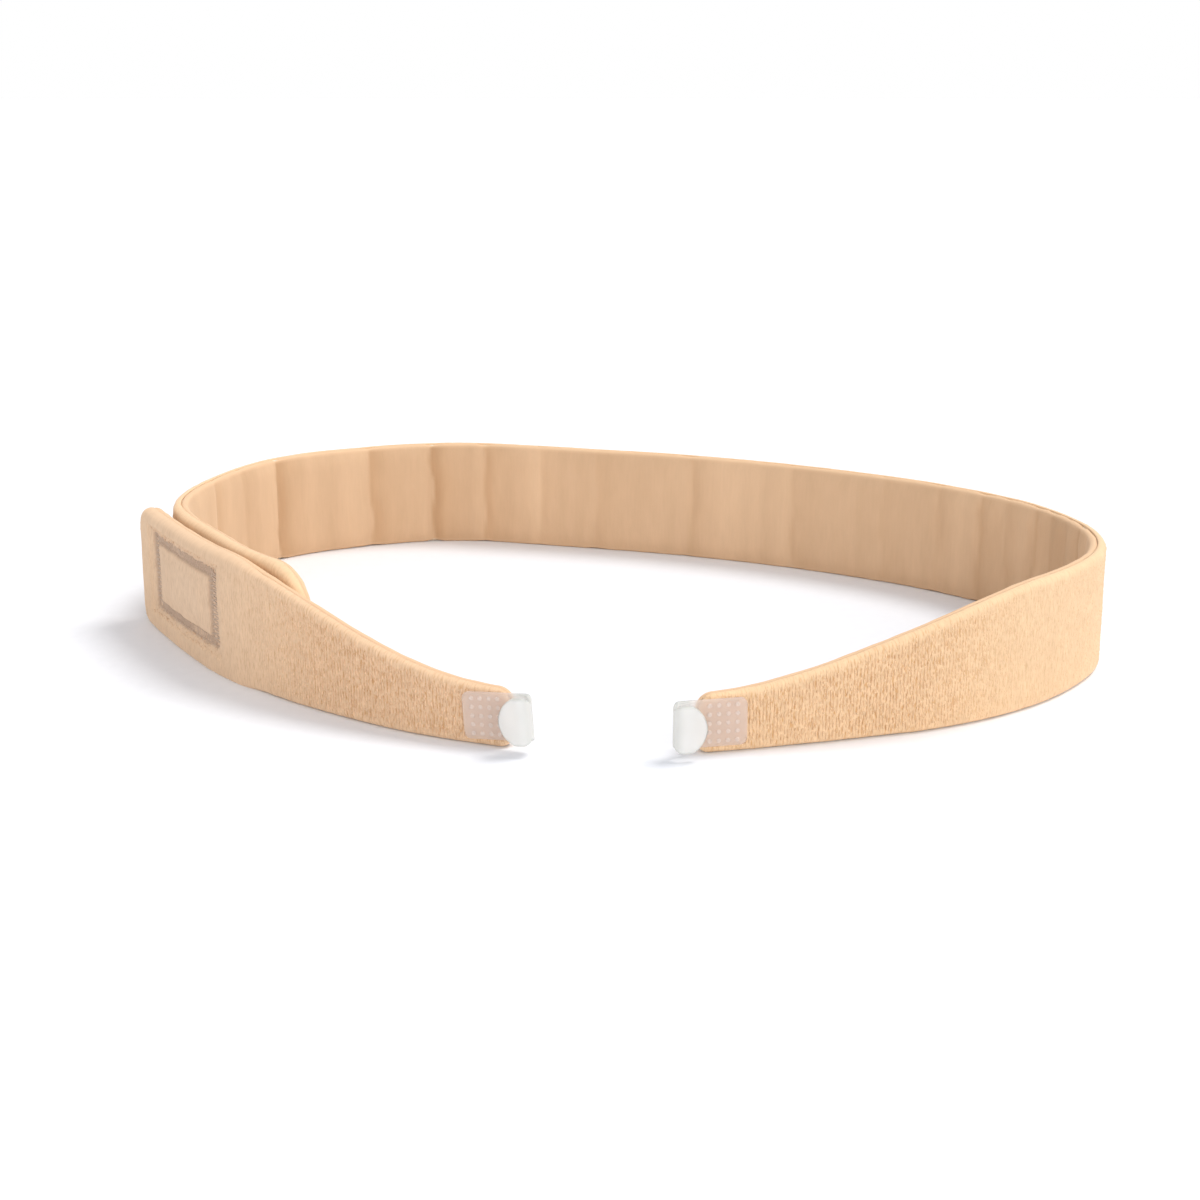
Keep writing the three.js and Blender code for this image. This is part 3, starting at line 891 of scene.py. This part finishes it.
# ------------------------------------------------------------------ fabric pieces
def make_facing(name, strap, step, across):
    """The terry shell: outer face, both long edges and the ends, up to the seam."""
    obj = sheet(name, strap, OUTSIDE, step, across, FACING)
    flat = coordinates(obj.data)
    outer = flat[:, 1] > -FACING / 2
    s, z = flat[:, 0], flat[:, 2]
    flat[:, 1] += np.where(outer, facing_relief(strap, s, z), -0.13 * MM * plate_cover(strap, s, z))
    keep_cloth_coordinates(obj.data, flat)
    keep_value(obj.data, "open", pile_opening(strap, s))
    keep_value(obj.data, "rim", 0.6 * rim_tone(strap, s, z, OUTSIDE))
    if strap is SHORT:
        keep_value(obj.data, "greying", greying_amount(strap, s, z))
        # the groove colour: partly the stitched terry's own, partly painted shade in the groove
        keep_value(obj.data, "sewn", smooth(1.6 * seam_groove(s, z)) * outer)
    set_coordinates(obj.data, strap.dress(flat, OUTSIDE))
    return face_out(obj)


def make_lining(name, strap):
    """The lining: inner face and its turn to the seam, puffed between its creases."""
    obj = simulate_puff(strap)
    obj.name = name
    obj.vertex_groups.clear()
    fine = obj.modifiers.new("fine", "SUBSURF")
    fine.levels = fine.render_levels = 1
    shown = obj.evaluated_get(bpy.context.evaluated_depsgraph_get())
    obj.data = bpy.data.meshes.new_from_object(shown)
    obj.modifiers.clear()
    flat = coordinates(obj.data)
    flat[:, 1] += 0.06 * MM * waves(flat[:, 0], flat[:, 2], 2.6 * MM, 8 * MM, 14)
    if strap is LONG:
        inside = smooth(strap.edge(flat[:, 0], flat[:, 2])[0] / (3 * MM))
        flat[:, 1] += panel_slope(flat[:, 0]) * inside
    if strap is SHORT:
        flat[:, 1] += closure_bulge(strap, flat[:, 0], flat[:, 2])
    set_coordinates(obj.data, flat)
    flat = wall(obj, LINING)
    keep_cloth_coordinates(obj.data, flat)
    if strap is LONG:
        # painted shade beside the creases, stored as pressed
        keep_value(obj.data, "pressed", crease_shade_tone(flat[:, 0], flat[:, 2]))
    keep_value(obj.data, "rim", rim_tone(strap, flat[:, 0], flat[:, 2], INSIDE))
    set_coordinates(obj.data, strap.dress(flat, INSIDE))
    return face_out(obj)


def wall(obj, thickness):
    """Give a flat sheet its thickness, and return its points."""
    bm = bmesh.new()
    bm.from_mesh(obj.data)
    thicken(bm, (0, -thickness, 0))
    bm.to_mesh(obj.data)
    bm.free()
    return coordinates(obj.data)


def make_core(name, strap, step, across):
    """The foam sheet between the fabrics."""
    high, low = HALF - FACING - CORE_GAP - 0.2 * MM, -HALF + LINING + CORE_GAP + 0.1 * MM
    inset = 1.2 * MM
    obj = sheet(name, strap, OUTSIDE, step, across)
    flat, margin = coordinates(obj.data), SEAM_REACH[OUTSIDE]
    bottom, top = strap.limits(flat[:, 0], margin)
    share = (flat[:, 2] - bottom) / (top - bottom)
    s = inset + (flat[:, 0] + margin) * (strap.length - 2 * inset) / (strap.length + 2 * margin)
    bottom, top = strap.limits(s, -0.4 * MM)
    flat = np.stack([s, 0 * s + high, bottom + (top - bottom) * share], -1)
    set_coordinates(obj.data, flat)
    flat = wall(obj, high - low)
    pressed = plate_cover(strap, flat[:, 0], flat[:, 2]) * (flat[:, 1] > 0)
    flat[:, 1] -= 0.15 * MM * pressed
    keep_cloth_coordinates(obj.data, flat)
    set_coordinates(obj.data, strap.path.place(*flat.T))
    return face_out(obj)


def make_pile(name, strap, first, last, pitch, seed):
    """The terry's loops: small arches of yarn that stand in rows up the strap."""
    own, random, margin = sizes(), np.random.RandomState(seed), SEAM_REACH[OUTSIDE]
    rows = 1.25 * pitch                         # loops are longer than they are wide
    s_count, z_count = round((last - first) / pitch), round((BAND_WIDTH + 2 * margin) / rows)
    i, j = np.meshgrid(np.arange(s_count), np.arange(z_count), indexing="ij")
    s = first + (i.ravel() + 0.5 + random.uniform(-0.12, 0.12, i.size)) * pitch
    z = -margin + (j.ravel() + 0.5 * (i.ravel() % 2) + random.uniform(-0.5, 0.5, i.size)) * rows
    inside = strap.edge(s, z)[0] > -margin + 0.1 * MM
    open_pile = plate_cover(strap, s, z) < 0.45
    if strap is SHORT:
        open_pile &= seam_ring(s, z) < 0.15 * MM       # worn smooth inside the stitching
    s, z = s[inside & open_pile], z[inside & open_pile]
    bm = bmesh.new()
    bmesh.ops.create_uvsphere(bm, u_segments=4, v_segments=4, radius=1)
    obj = copies(name, bm, len(s))
    unit = coordinates(obj.data).reshape(len(s), -1, 3)
    side_way, out_way, long_way = unit[..., 0], unit[..., 1], unit[..., 2]

    def vary(low, high):
        return random.uniform(low, high, len(s))[:, None]

    length, width = own.pile_length / 2 * vary(0.6, 1.25), own.pile_width / 2 * vary(0.75, 1.2)
    opened = pile_opening(strap, s)[:, None]
    off_rim = smooth(strap.edge(s, z)[0] / (2 * MM))[:, None]
    rise = own.pile_rise * vary(0.45, 1.25) * opened * (0.2 + 0.8 * off_rim)
    lean = np.radians(vary(-7, 7))
    curl = vary(-0.1, 0.1) * length
    arch = 1 - long_way ** 2
    across = side_way * width + curl * arch
    along = long_way * length
    sunk = PILE_SUNK * (1 - opened * off_rim)
    h = out_way * width + rise * (arch - 0.35) - sunk
    around_s = s[:, None] + across * np.cos(lean) - along * np.sin(lean)
    around_z = z[:, None] + across * np.sin(lean) + along * np.cos(lean)
    relief = facing_relief(strap, s, z)[:, None]
    flat = np.stack([around_s, h + relief, around_z], -1).reshape(-1, 3)
    keep_cloth_coordinates(obj.data, flat)
    value = 0.5 + np.clip(random.normal(0, 0.24, len(s)), -0.5, 0.5) * opened[:, 0]
    keep_value(obj.data, "tuft", np.repeat(value, unit.shape[1]))
    keep_value(obj.data, "greying", np.repeat(greying_amount(strap, s, z), unit.shape[1]))
    set_coordinates(obj.data, strap.dress(flat, OUTSIDE))
    return face_out(obj)


# ------------------------------------------------------------------ closure pieces
def make_stitches():
    """Zig-zag stitches sunk in the groove that they pull into the short strap."""
    inset = SEAM_WIDTH / 2
    left, right = SEAM_FROM + inset * SEAM_END_WIDER, SEAM_TO - inset * SEAM_END_WIDER
    low, high = SEAM_LOW + inset, SEAM_HIGH - inset
    corners = [(left, low), (right, low), (right, high), (left, high), (left, low)]
    middle, way = [], []
    for (s0, z0), (s1, z1) in zip(corners, corners[1:]):
        length = math.hypot(s1 - s0, z1 - z0)
        count = round(length / STITCH_PITCH)
        for k in range(count):
            share = (k + 0.5) / count
            middle.append((s0 + (s1 - s0) * share, z0 + (z1 - z0) * share))
            way.append(((s1 - s0) / length, (z1 - z0) / length))
    middle, way = np.array(middle), np.array(way)
    bm = bmesh.new()
    bmesh.ops.create_uvsphere(bm, u_segments=6, v_segments=8, radius=1)
    obj = copies("tape_stitching_threads", bm, len(middle))
    unit = coordinates(obj.data).reshape(len(middle), -1, 3)
    random = np.random.RandomState(sizes().seed + 21)
    wider = np.where(np.abs(way[:, 1]) > 0.5, SEAM_END_WIDER, 1)
    reach = (wider * (SEAM_WIDTH / 2 - 0.25 * MM) * random.uniform(0.85, 1.08, len(middle)))[:, None]
    lean = np.where(np.arange(len(middle)) % 2, 1, -1)[:, None] * 0.14
    # a thread keeps its thickness along its length and dives in at both ends
    turn = np.arcsin(np.clip(unit[..., 2], -1, 1)) / (math.pi / 2)
    swell = np.sqrt(np.clip(1 - turn ** 8, 0, 1)) / np.maximum(
        np.hypot(unit[..., 0], unit[..., 1]), 0.2)
    along = turn * reach
    across = unit[..., 0] * swell * STITCH_RADIUS
    h = unit[..., 1] * swell * STITCH_RADIUS - 0.3 * MM * turn ** 4
    normal = np.stack([-way[:, 1], way[:, 0]], -1)
    run = across + lean * along
    s = middle[:, :1] + normal[:, :1] * along + way[:, :1] * run
    z = middle[:, 1:] + normal[:, 1:] * along + way[:, 1:] * run
    ground = facing_relief(SHORT, s, z) + 0.12 * MM
    flat = np.stack([s, h + ground, z], -1).reshape(-1, 3)
    keep_cloth_coordinates(obj.data, flat)
    set_coordinates(obj.data, SHORT.dress(flat, OUTSIDE))
    return face_out(obj)


def make_tape():
    """The hook tape's woven ground, with rounded corners."""
    bm = bmesh.new()
    bmesh.ops.create_cube(bm, size=1)
    width, height = TAPE_TO - TAPE_FROM, TAPE_HIGH - TAPE_LOW
    bmesh.ops.scale(bm, verts=bm.verts, vec=(width, TAPE_BACK, height))
    upright = [e for e in bm.edges if abs(e.verts[0].co.y - e.verts[1].co.y) > TAPE_BACK / 2]
    bmesh.ops.bevel(bm, geom=upright, offset=TAPE_CORNER, segments=6, profile=0.5,
                    affect="EDGES", material=-1)
    for k in range(1, 24):
        cut = -width / 2 + width * k / 24
        bmesh.ops.bisect_plane(
            bm, geom=bm.verts[:] + bm.edges[:] + bm.faces[:], dist=1e-7,
            plane_co=(cut, 0, 0), plane_no=(1, 0, 0))
    bmesh.ops.translate(bm, verts=bm.verts, vec=(
        (TAPE_FROM + TAPE_TO) / 2, TAPE_FACE - TAPE_BACK / 2, (TAPE_LOW + TAPE_HIGH) / 2))
    obj = new_object("closure_hook_tape", bm)
    flat = coordinates(obj.data)
    keep_cloth_coordinates(obj.data, flat)
    set_coordinates(obj.data, SHORT_PATH.place(*flat.T))
    return face_out(obj, False)


def make_tape_hooks():
    """The tape's own micro hooks: short bent hairs in staggered rows."""
    s_list = np.arange(TAPE_FROM + 1 * MM, TAPE_TO - 0.8 * MM, TAPE_HOOK_PITCH)
    z_list = np.arange(TAPE_LOW + 1 * MM, TAPE_HIGH - 0.8 * MM, TAPE_HOOK_PITCH)
    i, j = np.meshgrid(np.arange(len(s_list)), np.arange(len(z_list)), indexing="ij")
    s = s_list[i.ravel()] + (j.ravel() % 2) * TAPE_HOOK_PITCH / 2
    z = z_list[j.ravel()]
    bm = bmesh.new()
    bmesh.ops.create_uvsphere(bm, u_segments=5, v_segments=6, radius=1)
    obj = copies("closure_tape_hooks", bm, len(s))
    unit = coordinates(obj.data).reshape(len(s), -1, 3)
    share = (unit[..., 2] + 1) / 2                # 0 at the root, 1 at the tip
    angle = share * math.radians(250)
    crook = 0.16 * MM
    bend_s = crook * (1 - np.cos(angle))
    bend_h = (TAPE_HOOK_RISE - crook) * np.minimum(share * 2, 1) + crook * np.sin(angle)
    thick = 0.08 * MM
    flip = np.where(i.ravel() % 2, 1, -1)[:, None]
    flat = np.stack([
        s[:, None] + flip * (bend_s + unit[..., 0] * thick),
        TAPE_FACE - TAPE_BACK - bend_h + unit[..., 1] * thick * 0.3,
        z[:, None] + unit[..., 1] * thick,
    ], -1).reshape(-1, 3)
    keep_cloth_coordinates(obj.data, flat)
    set_coordinates(obj.data, SHORT_PATH.place(*flat.T))
    return face_out(obj)


# ------------------------------------------------------------------ hooks
FOLD_RADIUS = (FINGER_HIGH - PLATE_LOW) / 2
FOLD_MIDDLE = FOLD_RADIUS - HOOK_REACH
CORE_RADIUS = FOLD_RADIUS - HOOK_THICKNESS / 2
FOLD_RUN = math.pi * CORE_RADIUS
PLATE_RUN = PLATE_LENGTH - FOLD_MIDDLE
FINGER_RUN = FINGER_OVERLAP - FOLD_MIDDLE


def hook_half_height(t):
    """Half the strip's height at t, from the plate's end round to the finger's tip."""
    half = HOOK_HEIGHT / 2 - corner_inset(PLATE_CORNER, t)
    angle = np.clip((t - PLATE_RUN) / FOLD_RUN, 0, 1) * math.pi
    from_tip_of_fold = FOLD_RADIUS * (1 - np.sin(angle))
    in_fold = (t > PLATE_RUN) & (t < PLATE_RUN + FOLD_RUN)
    half = half - np.where(in_fold, corner_inset(FOLD_CORNER, from_tip_of_fold), 0)
    to_tip = PLATE_RUN + FOLD_RUN + FINGER_RUN - t
    round_half = np.sqrt(np.maximum(FINGER_TIP ** 2 - np.maximum(FINGER_TIP - to_tip, 0) ** 2, 0))
    return np.minimum(half, round_half)


def fold_strip(t, w):
    """t along the strip and w out of its middle, to the hook's own x and y."""
    angle = np.clip((t - PLATE_RUN) / FOLD_RUN, 0, 1) * math.pi
    radius = CORE_RADIUS + w
    x = FOLD_MIDDLE - radius * np.sin(angle)
    y = (FINGER_HIGH + PLATE_LOW) / 2 - radius * np.cos(angle)
    x = x + np.maximum(PLATE_RUN - t, 0) + np.maximum(t - PLATE_RUN - FOLD_RUN, 0)
    return x, y


def make_hook(side, path, towards, tilt):
    """The moulded J-hook, made as a straight strip and folded over. Its outer side
    is the one away from the fold's middle."""
    total = PLATE_RUN + FOLD_RUN + FINGER_RUN
    t_list = np.concatenate([
        spread(0, 2 * MM, 0.16 * MM), spread(2 * MM, total - 3 * MM, 0.3 * MM)[1:],
        total - 3 * MM * (1 - np.sin(np.linspace(0, math.pi / 2, 22)[1:])),
    ])
    rows = 16
    bm = bmesh.new()
    bmesh.ops.create_grid(bm, x_segments=len(t_list) - 1, y_segments=rows, size=0.5)
    thicken(bm, (0, 0, -1))
    for v in bm.verts:
        t = t_list[round((v.co.x + 0.5) * (len(t_list) - 1))]
        half = max(float(hook_half_height(np.array(t))), 0.25 * MM)
        v.co = (t, HOOK_THICKNESS * (v.co.z + 0.5), 2 * half * v.co.y)
    bmesh.ops.recalc_face_normals(bm, faces=bm.faces[:])
    rim = [e for e in bm.edges if e.calc_face_angle(0) > 1.0]
    bmesh.ops.bevel(bm, geom=rim, offset=HOOK_ROUND, segments=2, profile=0.5,
                    affect="EDGES", material=-1)
    obj = new_object(f"{side}_hook_moulding", bm)
    strip = coordinates(obj.data)
    keep_value(obj.data, "free", smooth((strip[:, 0] - PLATE_LENGTH + 0.6 * MM) / (3 * MM)))
    half = hook_half_height(strip[:, 0])
    # painted shade along the outline and, weaker, across the fold, stored as edge
    in_fold = bump((strip[:, 0] - PLATE_RUN - FOLD_RUN / 2) / (FOLD_RUN / 2))
    at_edge = 1 - smooth((half - np.abs(strip[:, 2])) / EDGE_SHADE_WIDTH)
    keep_value(obj.data, "edge", np.maximum(at_edge, 0.6 * in_fold))
    x, y = fold_strip(strip[:, 0], strip[:, 1])
    place_hook_mesh(obj, np.stack([x, y, strip[:, 2]], -1), path, towards, tilt)
    return face_out(obj)


def place_hook_mesh(obj, own, path, towards, tilt):
    """Stand a hook's own points at a strap's end."""
    angle = math.radians(tilt)
    pivot = PLATE_LENGTH / 2
    x = pivot + (own[:, 0] - pivot) * math.cos(angle) - own[:, 2] * math.sin(angle)
    z = (own[:, 0] - pivot) * math.sin(angle) + own[:, 2] * math.cos(angle)
    at = 0 if towards > 0 else path.length
    heading = path.heading(at)
    start = path.place(at, 0, 0)
    along = np.array([math.cos(heading), math.sin(heading), 0]) * towards
    outwards = np.array([math.sin(heading), -math.cos(heading), 0])
    co = start + x[:, None] * along + own[:, 1:2] * outwards
    co[:, 2] = HOOK_MIDDLE + z
    set_coordinates(obj.data, co)


def make_dots(side, path, towards, tilt):
    """The rows of small moulded domes on the plate's outer face."""
    bm = bmesh.new()
    bmesh.ops.create_uvsphere(bm, u_segments=14, v_segments=8, radius=1)
    obj = copies(f"{side}_hook_dots", bm, DOT_ROWS * DOT_COLUMNS)
    unit = coordinates(obj.data).reshape(DOT_ROWS * DOT_COLUMNS, -1, 3)
    index = np.arange(DOT_ROWS * DOT_COLUMNS)
    x = PLATE_LENGTH - DOT_MARGIN - (index % DOT_COLUMNS) * DOT_COLUMN_PITCH
    z = (index // DOT_COLUMNS - (DOT_ROWS - 1) / 2) * DOT_ROW_PITCH
    own = np.stack([
        x[:, None] + unit[..., 0] * DOT_RADIUS,
        PLATE_LOW + HOOK_THICKNESS + unit[..., 1] * DOT_RISE,
        z[:, None] + unit[..., 2] * DOT_RADIUS,
    ], -1).reshape(-1, 3)
    keep_value(obj.data, "free", np.full(len(own), DOT_FREE))
    place_hook_mesh(obj, own, path, towards, tilt)
    return face_out(obj)


def finger_bend(obj, path, towards):
    """Work out the crown of the hook's fold, which nothing uses, and bake the hook's transform into its
    mesh.
    """
    at = 0 if towards > 0 else path.length
    heading = path.heading(at)
    outwards = Vector((math.sin(heading), -math.cos(heading), 0))
    middle = Vector(path.place(at, 0, HOOK_MIDDLE).tolist())
    middle += Vector((math.cos(heading), math.sin(heading), 0)) * towards * FOLD_MIDDLE
    middle += outwards * (FINGER_HIGH + PLATE_LOW) / 2
    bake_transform(obj)


# ------------------------------------------------------------------ operators
class NECKBAND_OT_long_strap(bpy.types.Operator):
    """Make the long strap's terry facing, foam core, lining and pile"""
    bl_idname = "neckband.long_strap"
    bl_label = "Long strap"

    def execute(self, context):
        own, seed = sizes(), sizes().seed
        terry = terry_material("long_terry_knit", colours().long_terry)
        pile = pile_material("long_terry_loops", colours().long_terry)
        facing = make_facing("long_strap_facing", LONG, 0.75 * MM, 44)
        finish(facing, terry, ("back_facing", "right_arm_facing"))
        lining = make_lining("long_strap_lining", LONG)
        finish(lining, lining_material(colours().lining),
               ("back_lining", "right_arm_lining"))
        core = make_core("long_strap_core", LONG, 2.5 * MM, 12)
        finish(core, foam_material(colours().foam), ("back_foam", "right_arm_foam"))
        arm = make_pile("right_arm_pile", LONG, 0, ARM_PART, own.arm_pitch, seed)
        back = make_pile("back_pile", LONG, ARM_PART, LONG.length, own.back_pitch, seed + 1)
        for piece in (facing, lining, core, arm):
            bend_right(piece)
        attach(back, "back")
        for piece in (arm, back):
            finish(piece, pile)
        return {"FINISHED"}


class NECKBAND_OT_short_strap(bpy.types.Operator):
    """Make the short strap's terry facing, foam core, lining and pile"""
    bl_idname = "neckband.short_strap"
    bl_label = "Short strap"

    def execute(self, context):
        # the short strap's terry colour carries painted shade
        terry = terry_material("short_terry_knit", colours().short_terry_shaded)
        facing = make_facing("short_strap_facing", SHORT, 0.4 * MM, 80)
        finish(facing, terry, ("side_facing", "left_arm_facing"))
        lining = make_lining("short_strap_lining", SHORT)
        finish(lining, lining_material(colours().lining),
               ("side_lining", "left_arm_lining"))
        core = make_core("short_strap_core", SHORT, 2.5 * MM, 12)
        finish(core, foam_material(colours().foam), ("side_foam", "left_arm_foam"))
        pile = make_pile("left_arm_pile", SHORT, 0, SHORT.length, sizes().arm_pitch, sizes().seed + 2)
        finish(pile, pile_material("short_terry_loops", colours().short_terry_shaded))
        for piece in (facing, lining, core, pile):
            bend_left(piece)
        return {"FINISHED"}


class NECKBAND_OT_closure(bpy.types.Operator):
    """Make the closure: hook tape, its micro hooks and the zig-zag stitching"""
    bl_idname = "neckband.closure"
    bl_label = "Closure"

    def execute(self, context):
        nylon = tape_material(colours().tape)
        tape = finish(make_tape(), nylon, ("hook_tape",))
        hooks = finish(make_tape_hooks(), nylon)
        threads = finish(make_stitches(), thread_material(colours().thread),
                         ("tape_stitching",))
        for piece in (tape, hooks, threads):
            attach(piece, "left_strap")
        return {"FINISHED"}


class NECKBAND_OT_hooks(bpy.types.Operator):
    """Make the two moulded J-hooks"""
    bl_idname = "neckband.hooks"
    bl_label = "Hooks"

    def execute(self, context):
        plastic = moulding_material(colours().moulding)
        for side, path, towards, tilt in (
                ("right", LONG_PATH, 1, 0), ("left", SHORT_PATH, -1, -LEFT_HOOK_TILT)):
            hook = make_hook(side, path, towards, tilt)
            finish(hook, plastic, (f"{side}_hook_base", f"{side}_hook_finger"))
            dots = finish(make_dots(side, path, towards, tilt), plastic)
            finger_bend(hook, path, towards)
            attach(dots, f"{side}_arm")
        return {"FINISHED"}


class NECKBAND_OT_stage(bpy.types.Operator):
    """Make the paper floor, the soft lights and the camera"""
    bl_idname = "neckband.stage"
    bl_label = "Stage"

    def execute(self, context):
        scene = context.scene
        bm = bmesh.new()
        bmesh.ops.create_grid(bm, x_segments=8, y_segments=8, size=4)
        floor = new_object("studio_floor", bm)
        floor.location.z = FLOOR_Z
        floor.data.materials.append(floor_material())

        world = bpy.data.worlds.new("studio_white")
        scene.world = world
        world.use_nodes = True
        scene.view_settings.view_transform = "Standard"
        # a white cyclorama all round, dimmer overhead
        sky = world.node_tree
        place = add_node(sky, "ShaderNodeTexCoord")
        axes = add_node(sky, "ShaderNodeSeparateXYZ", {"Vector": place.outputs["Generated"]})
        tone = add_node(sky, "ShaderNodeValToRGB", {"Fac": axes.outputs["Z"]}, [
            [0.38, SKY_LOW], [0.68, SKY_HIGH]])
        sky.links.new(tone.outputs["Color"], sky.nodes["Background"].inputs["Color"])
        sky.nodes["Background"].inputs["Strength"].default_value = 1.0

        for name, place, power, spread_angle, code in LIGHTS:
            light = bpy.data.lights.new(name, "SUN")
            light.energy, light.angle = power, math.radians(spread_angle)
            light.color = linear(code)[:3]
            lamp = bpy.data.objects.new(name, light)
            scene.collection.objects.link(lamp)
            lamp.rotation_euler = (-Vector(place)).to_track_quat("-Z", "Y").to_euler()

        camera = bpy.data.cameras.new("camera")
        camera.lens, camera.sensor_width = CAMERA_LENS, SENSOR_WIDTH
        camera.clip_start, camera.clip_end = 0.01, 20
        eye = bpy.data.objects.new("camera", camera)
        scene.collection.objects.link(eye)
        eye.location = CAMERA_AT
        eye.rotation_euler = (math.radians(90 - CAMERA_DOWN), 0, 0)
        scene.camera = eye
        return {"FINISHED"}


class NECKBAND_PT_panel(bpy.types.Panel):
    """The band's pieces and settings in the sidebar"""
    bl_idname = "NECKBAND_PT_panel"
    bl_label = "Neck Holder Band"
    bl_space_type = "VIEW_3D"
    bl_region_type = "UI"
    bl_category = "Neck Band"

    def draw(self, context):
        for group in (colours(), sizes()):
            for name in group.__annotations__:
                self.layout.prop(group, name)
        for step in STEPS:
            self.layout.operator(step.bl_idname)


STEPS = (
    NECKBAND_OT_stage, NECKBAND_OT_long_strap, NECKBAND_OT_short_strap,
    NECKBAND_OT_closure, NECKBAND_OT_hooks,
)
CLASSES = (NeckBandColours, NeckBandSizes, *STEPS, NECKBAND_PT_panel)


def register():
    for item in CLASSES:
        bpy.utils.register_class(item)
    bpy.types.Scene.neck_band_colours = bpy.props.PointerProperty(type=NeckBandColours)
    bpy.types.Scene.neck_band_sizes = bpy.props.PointerProperty(type=NeckBandSizes)


def unregister():
    del bpy.types.Scene.neck_band_sizes
    del bpy.types.Scene.neck_band_colours
    for item in reversed(CLASSES):
        bpy.utils.unregister_class(item)


def main():
    register()
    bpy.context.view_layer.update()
    bpy.ops.neckband.stage()
    bpy.ops.neckband.long_strap()
    bpy.ops.neckband.short_strap()
    bpy.ops.neckband.closure()
    bpy.ops.neckband.hooks()
    bpy.context.view_layer.update()


if __name__ == "__main__":
    main()
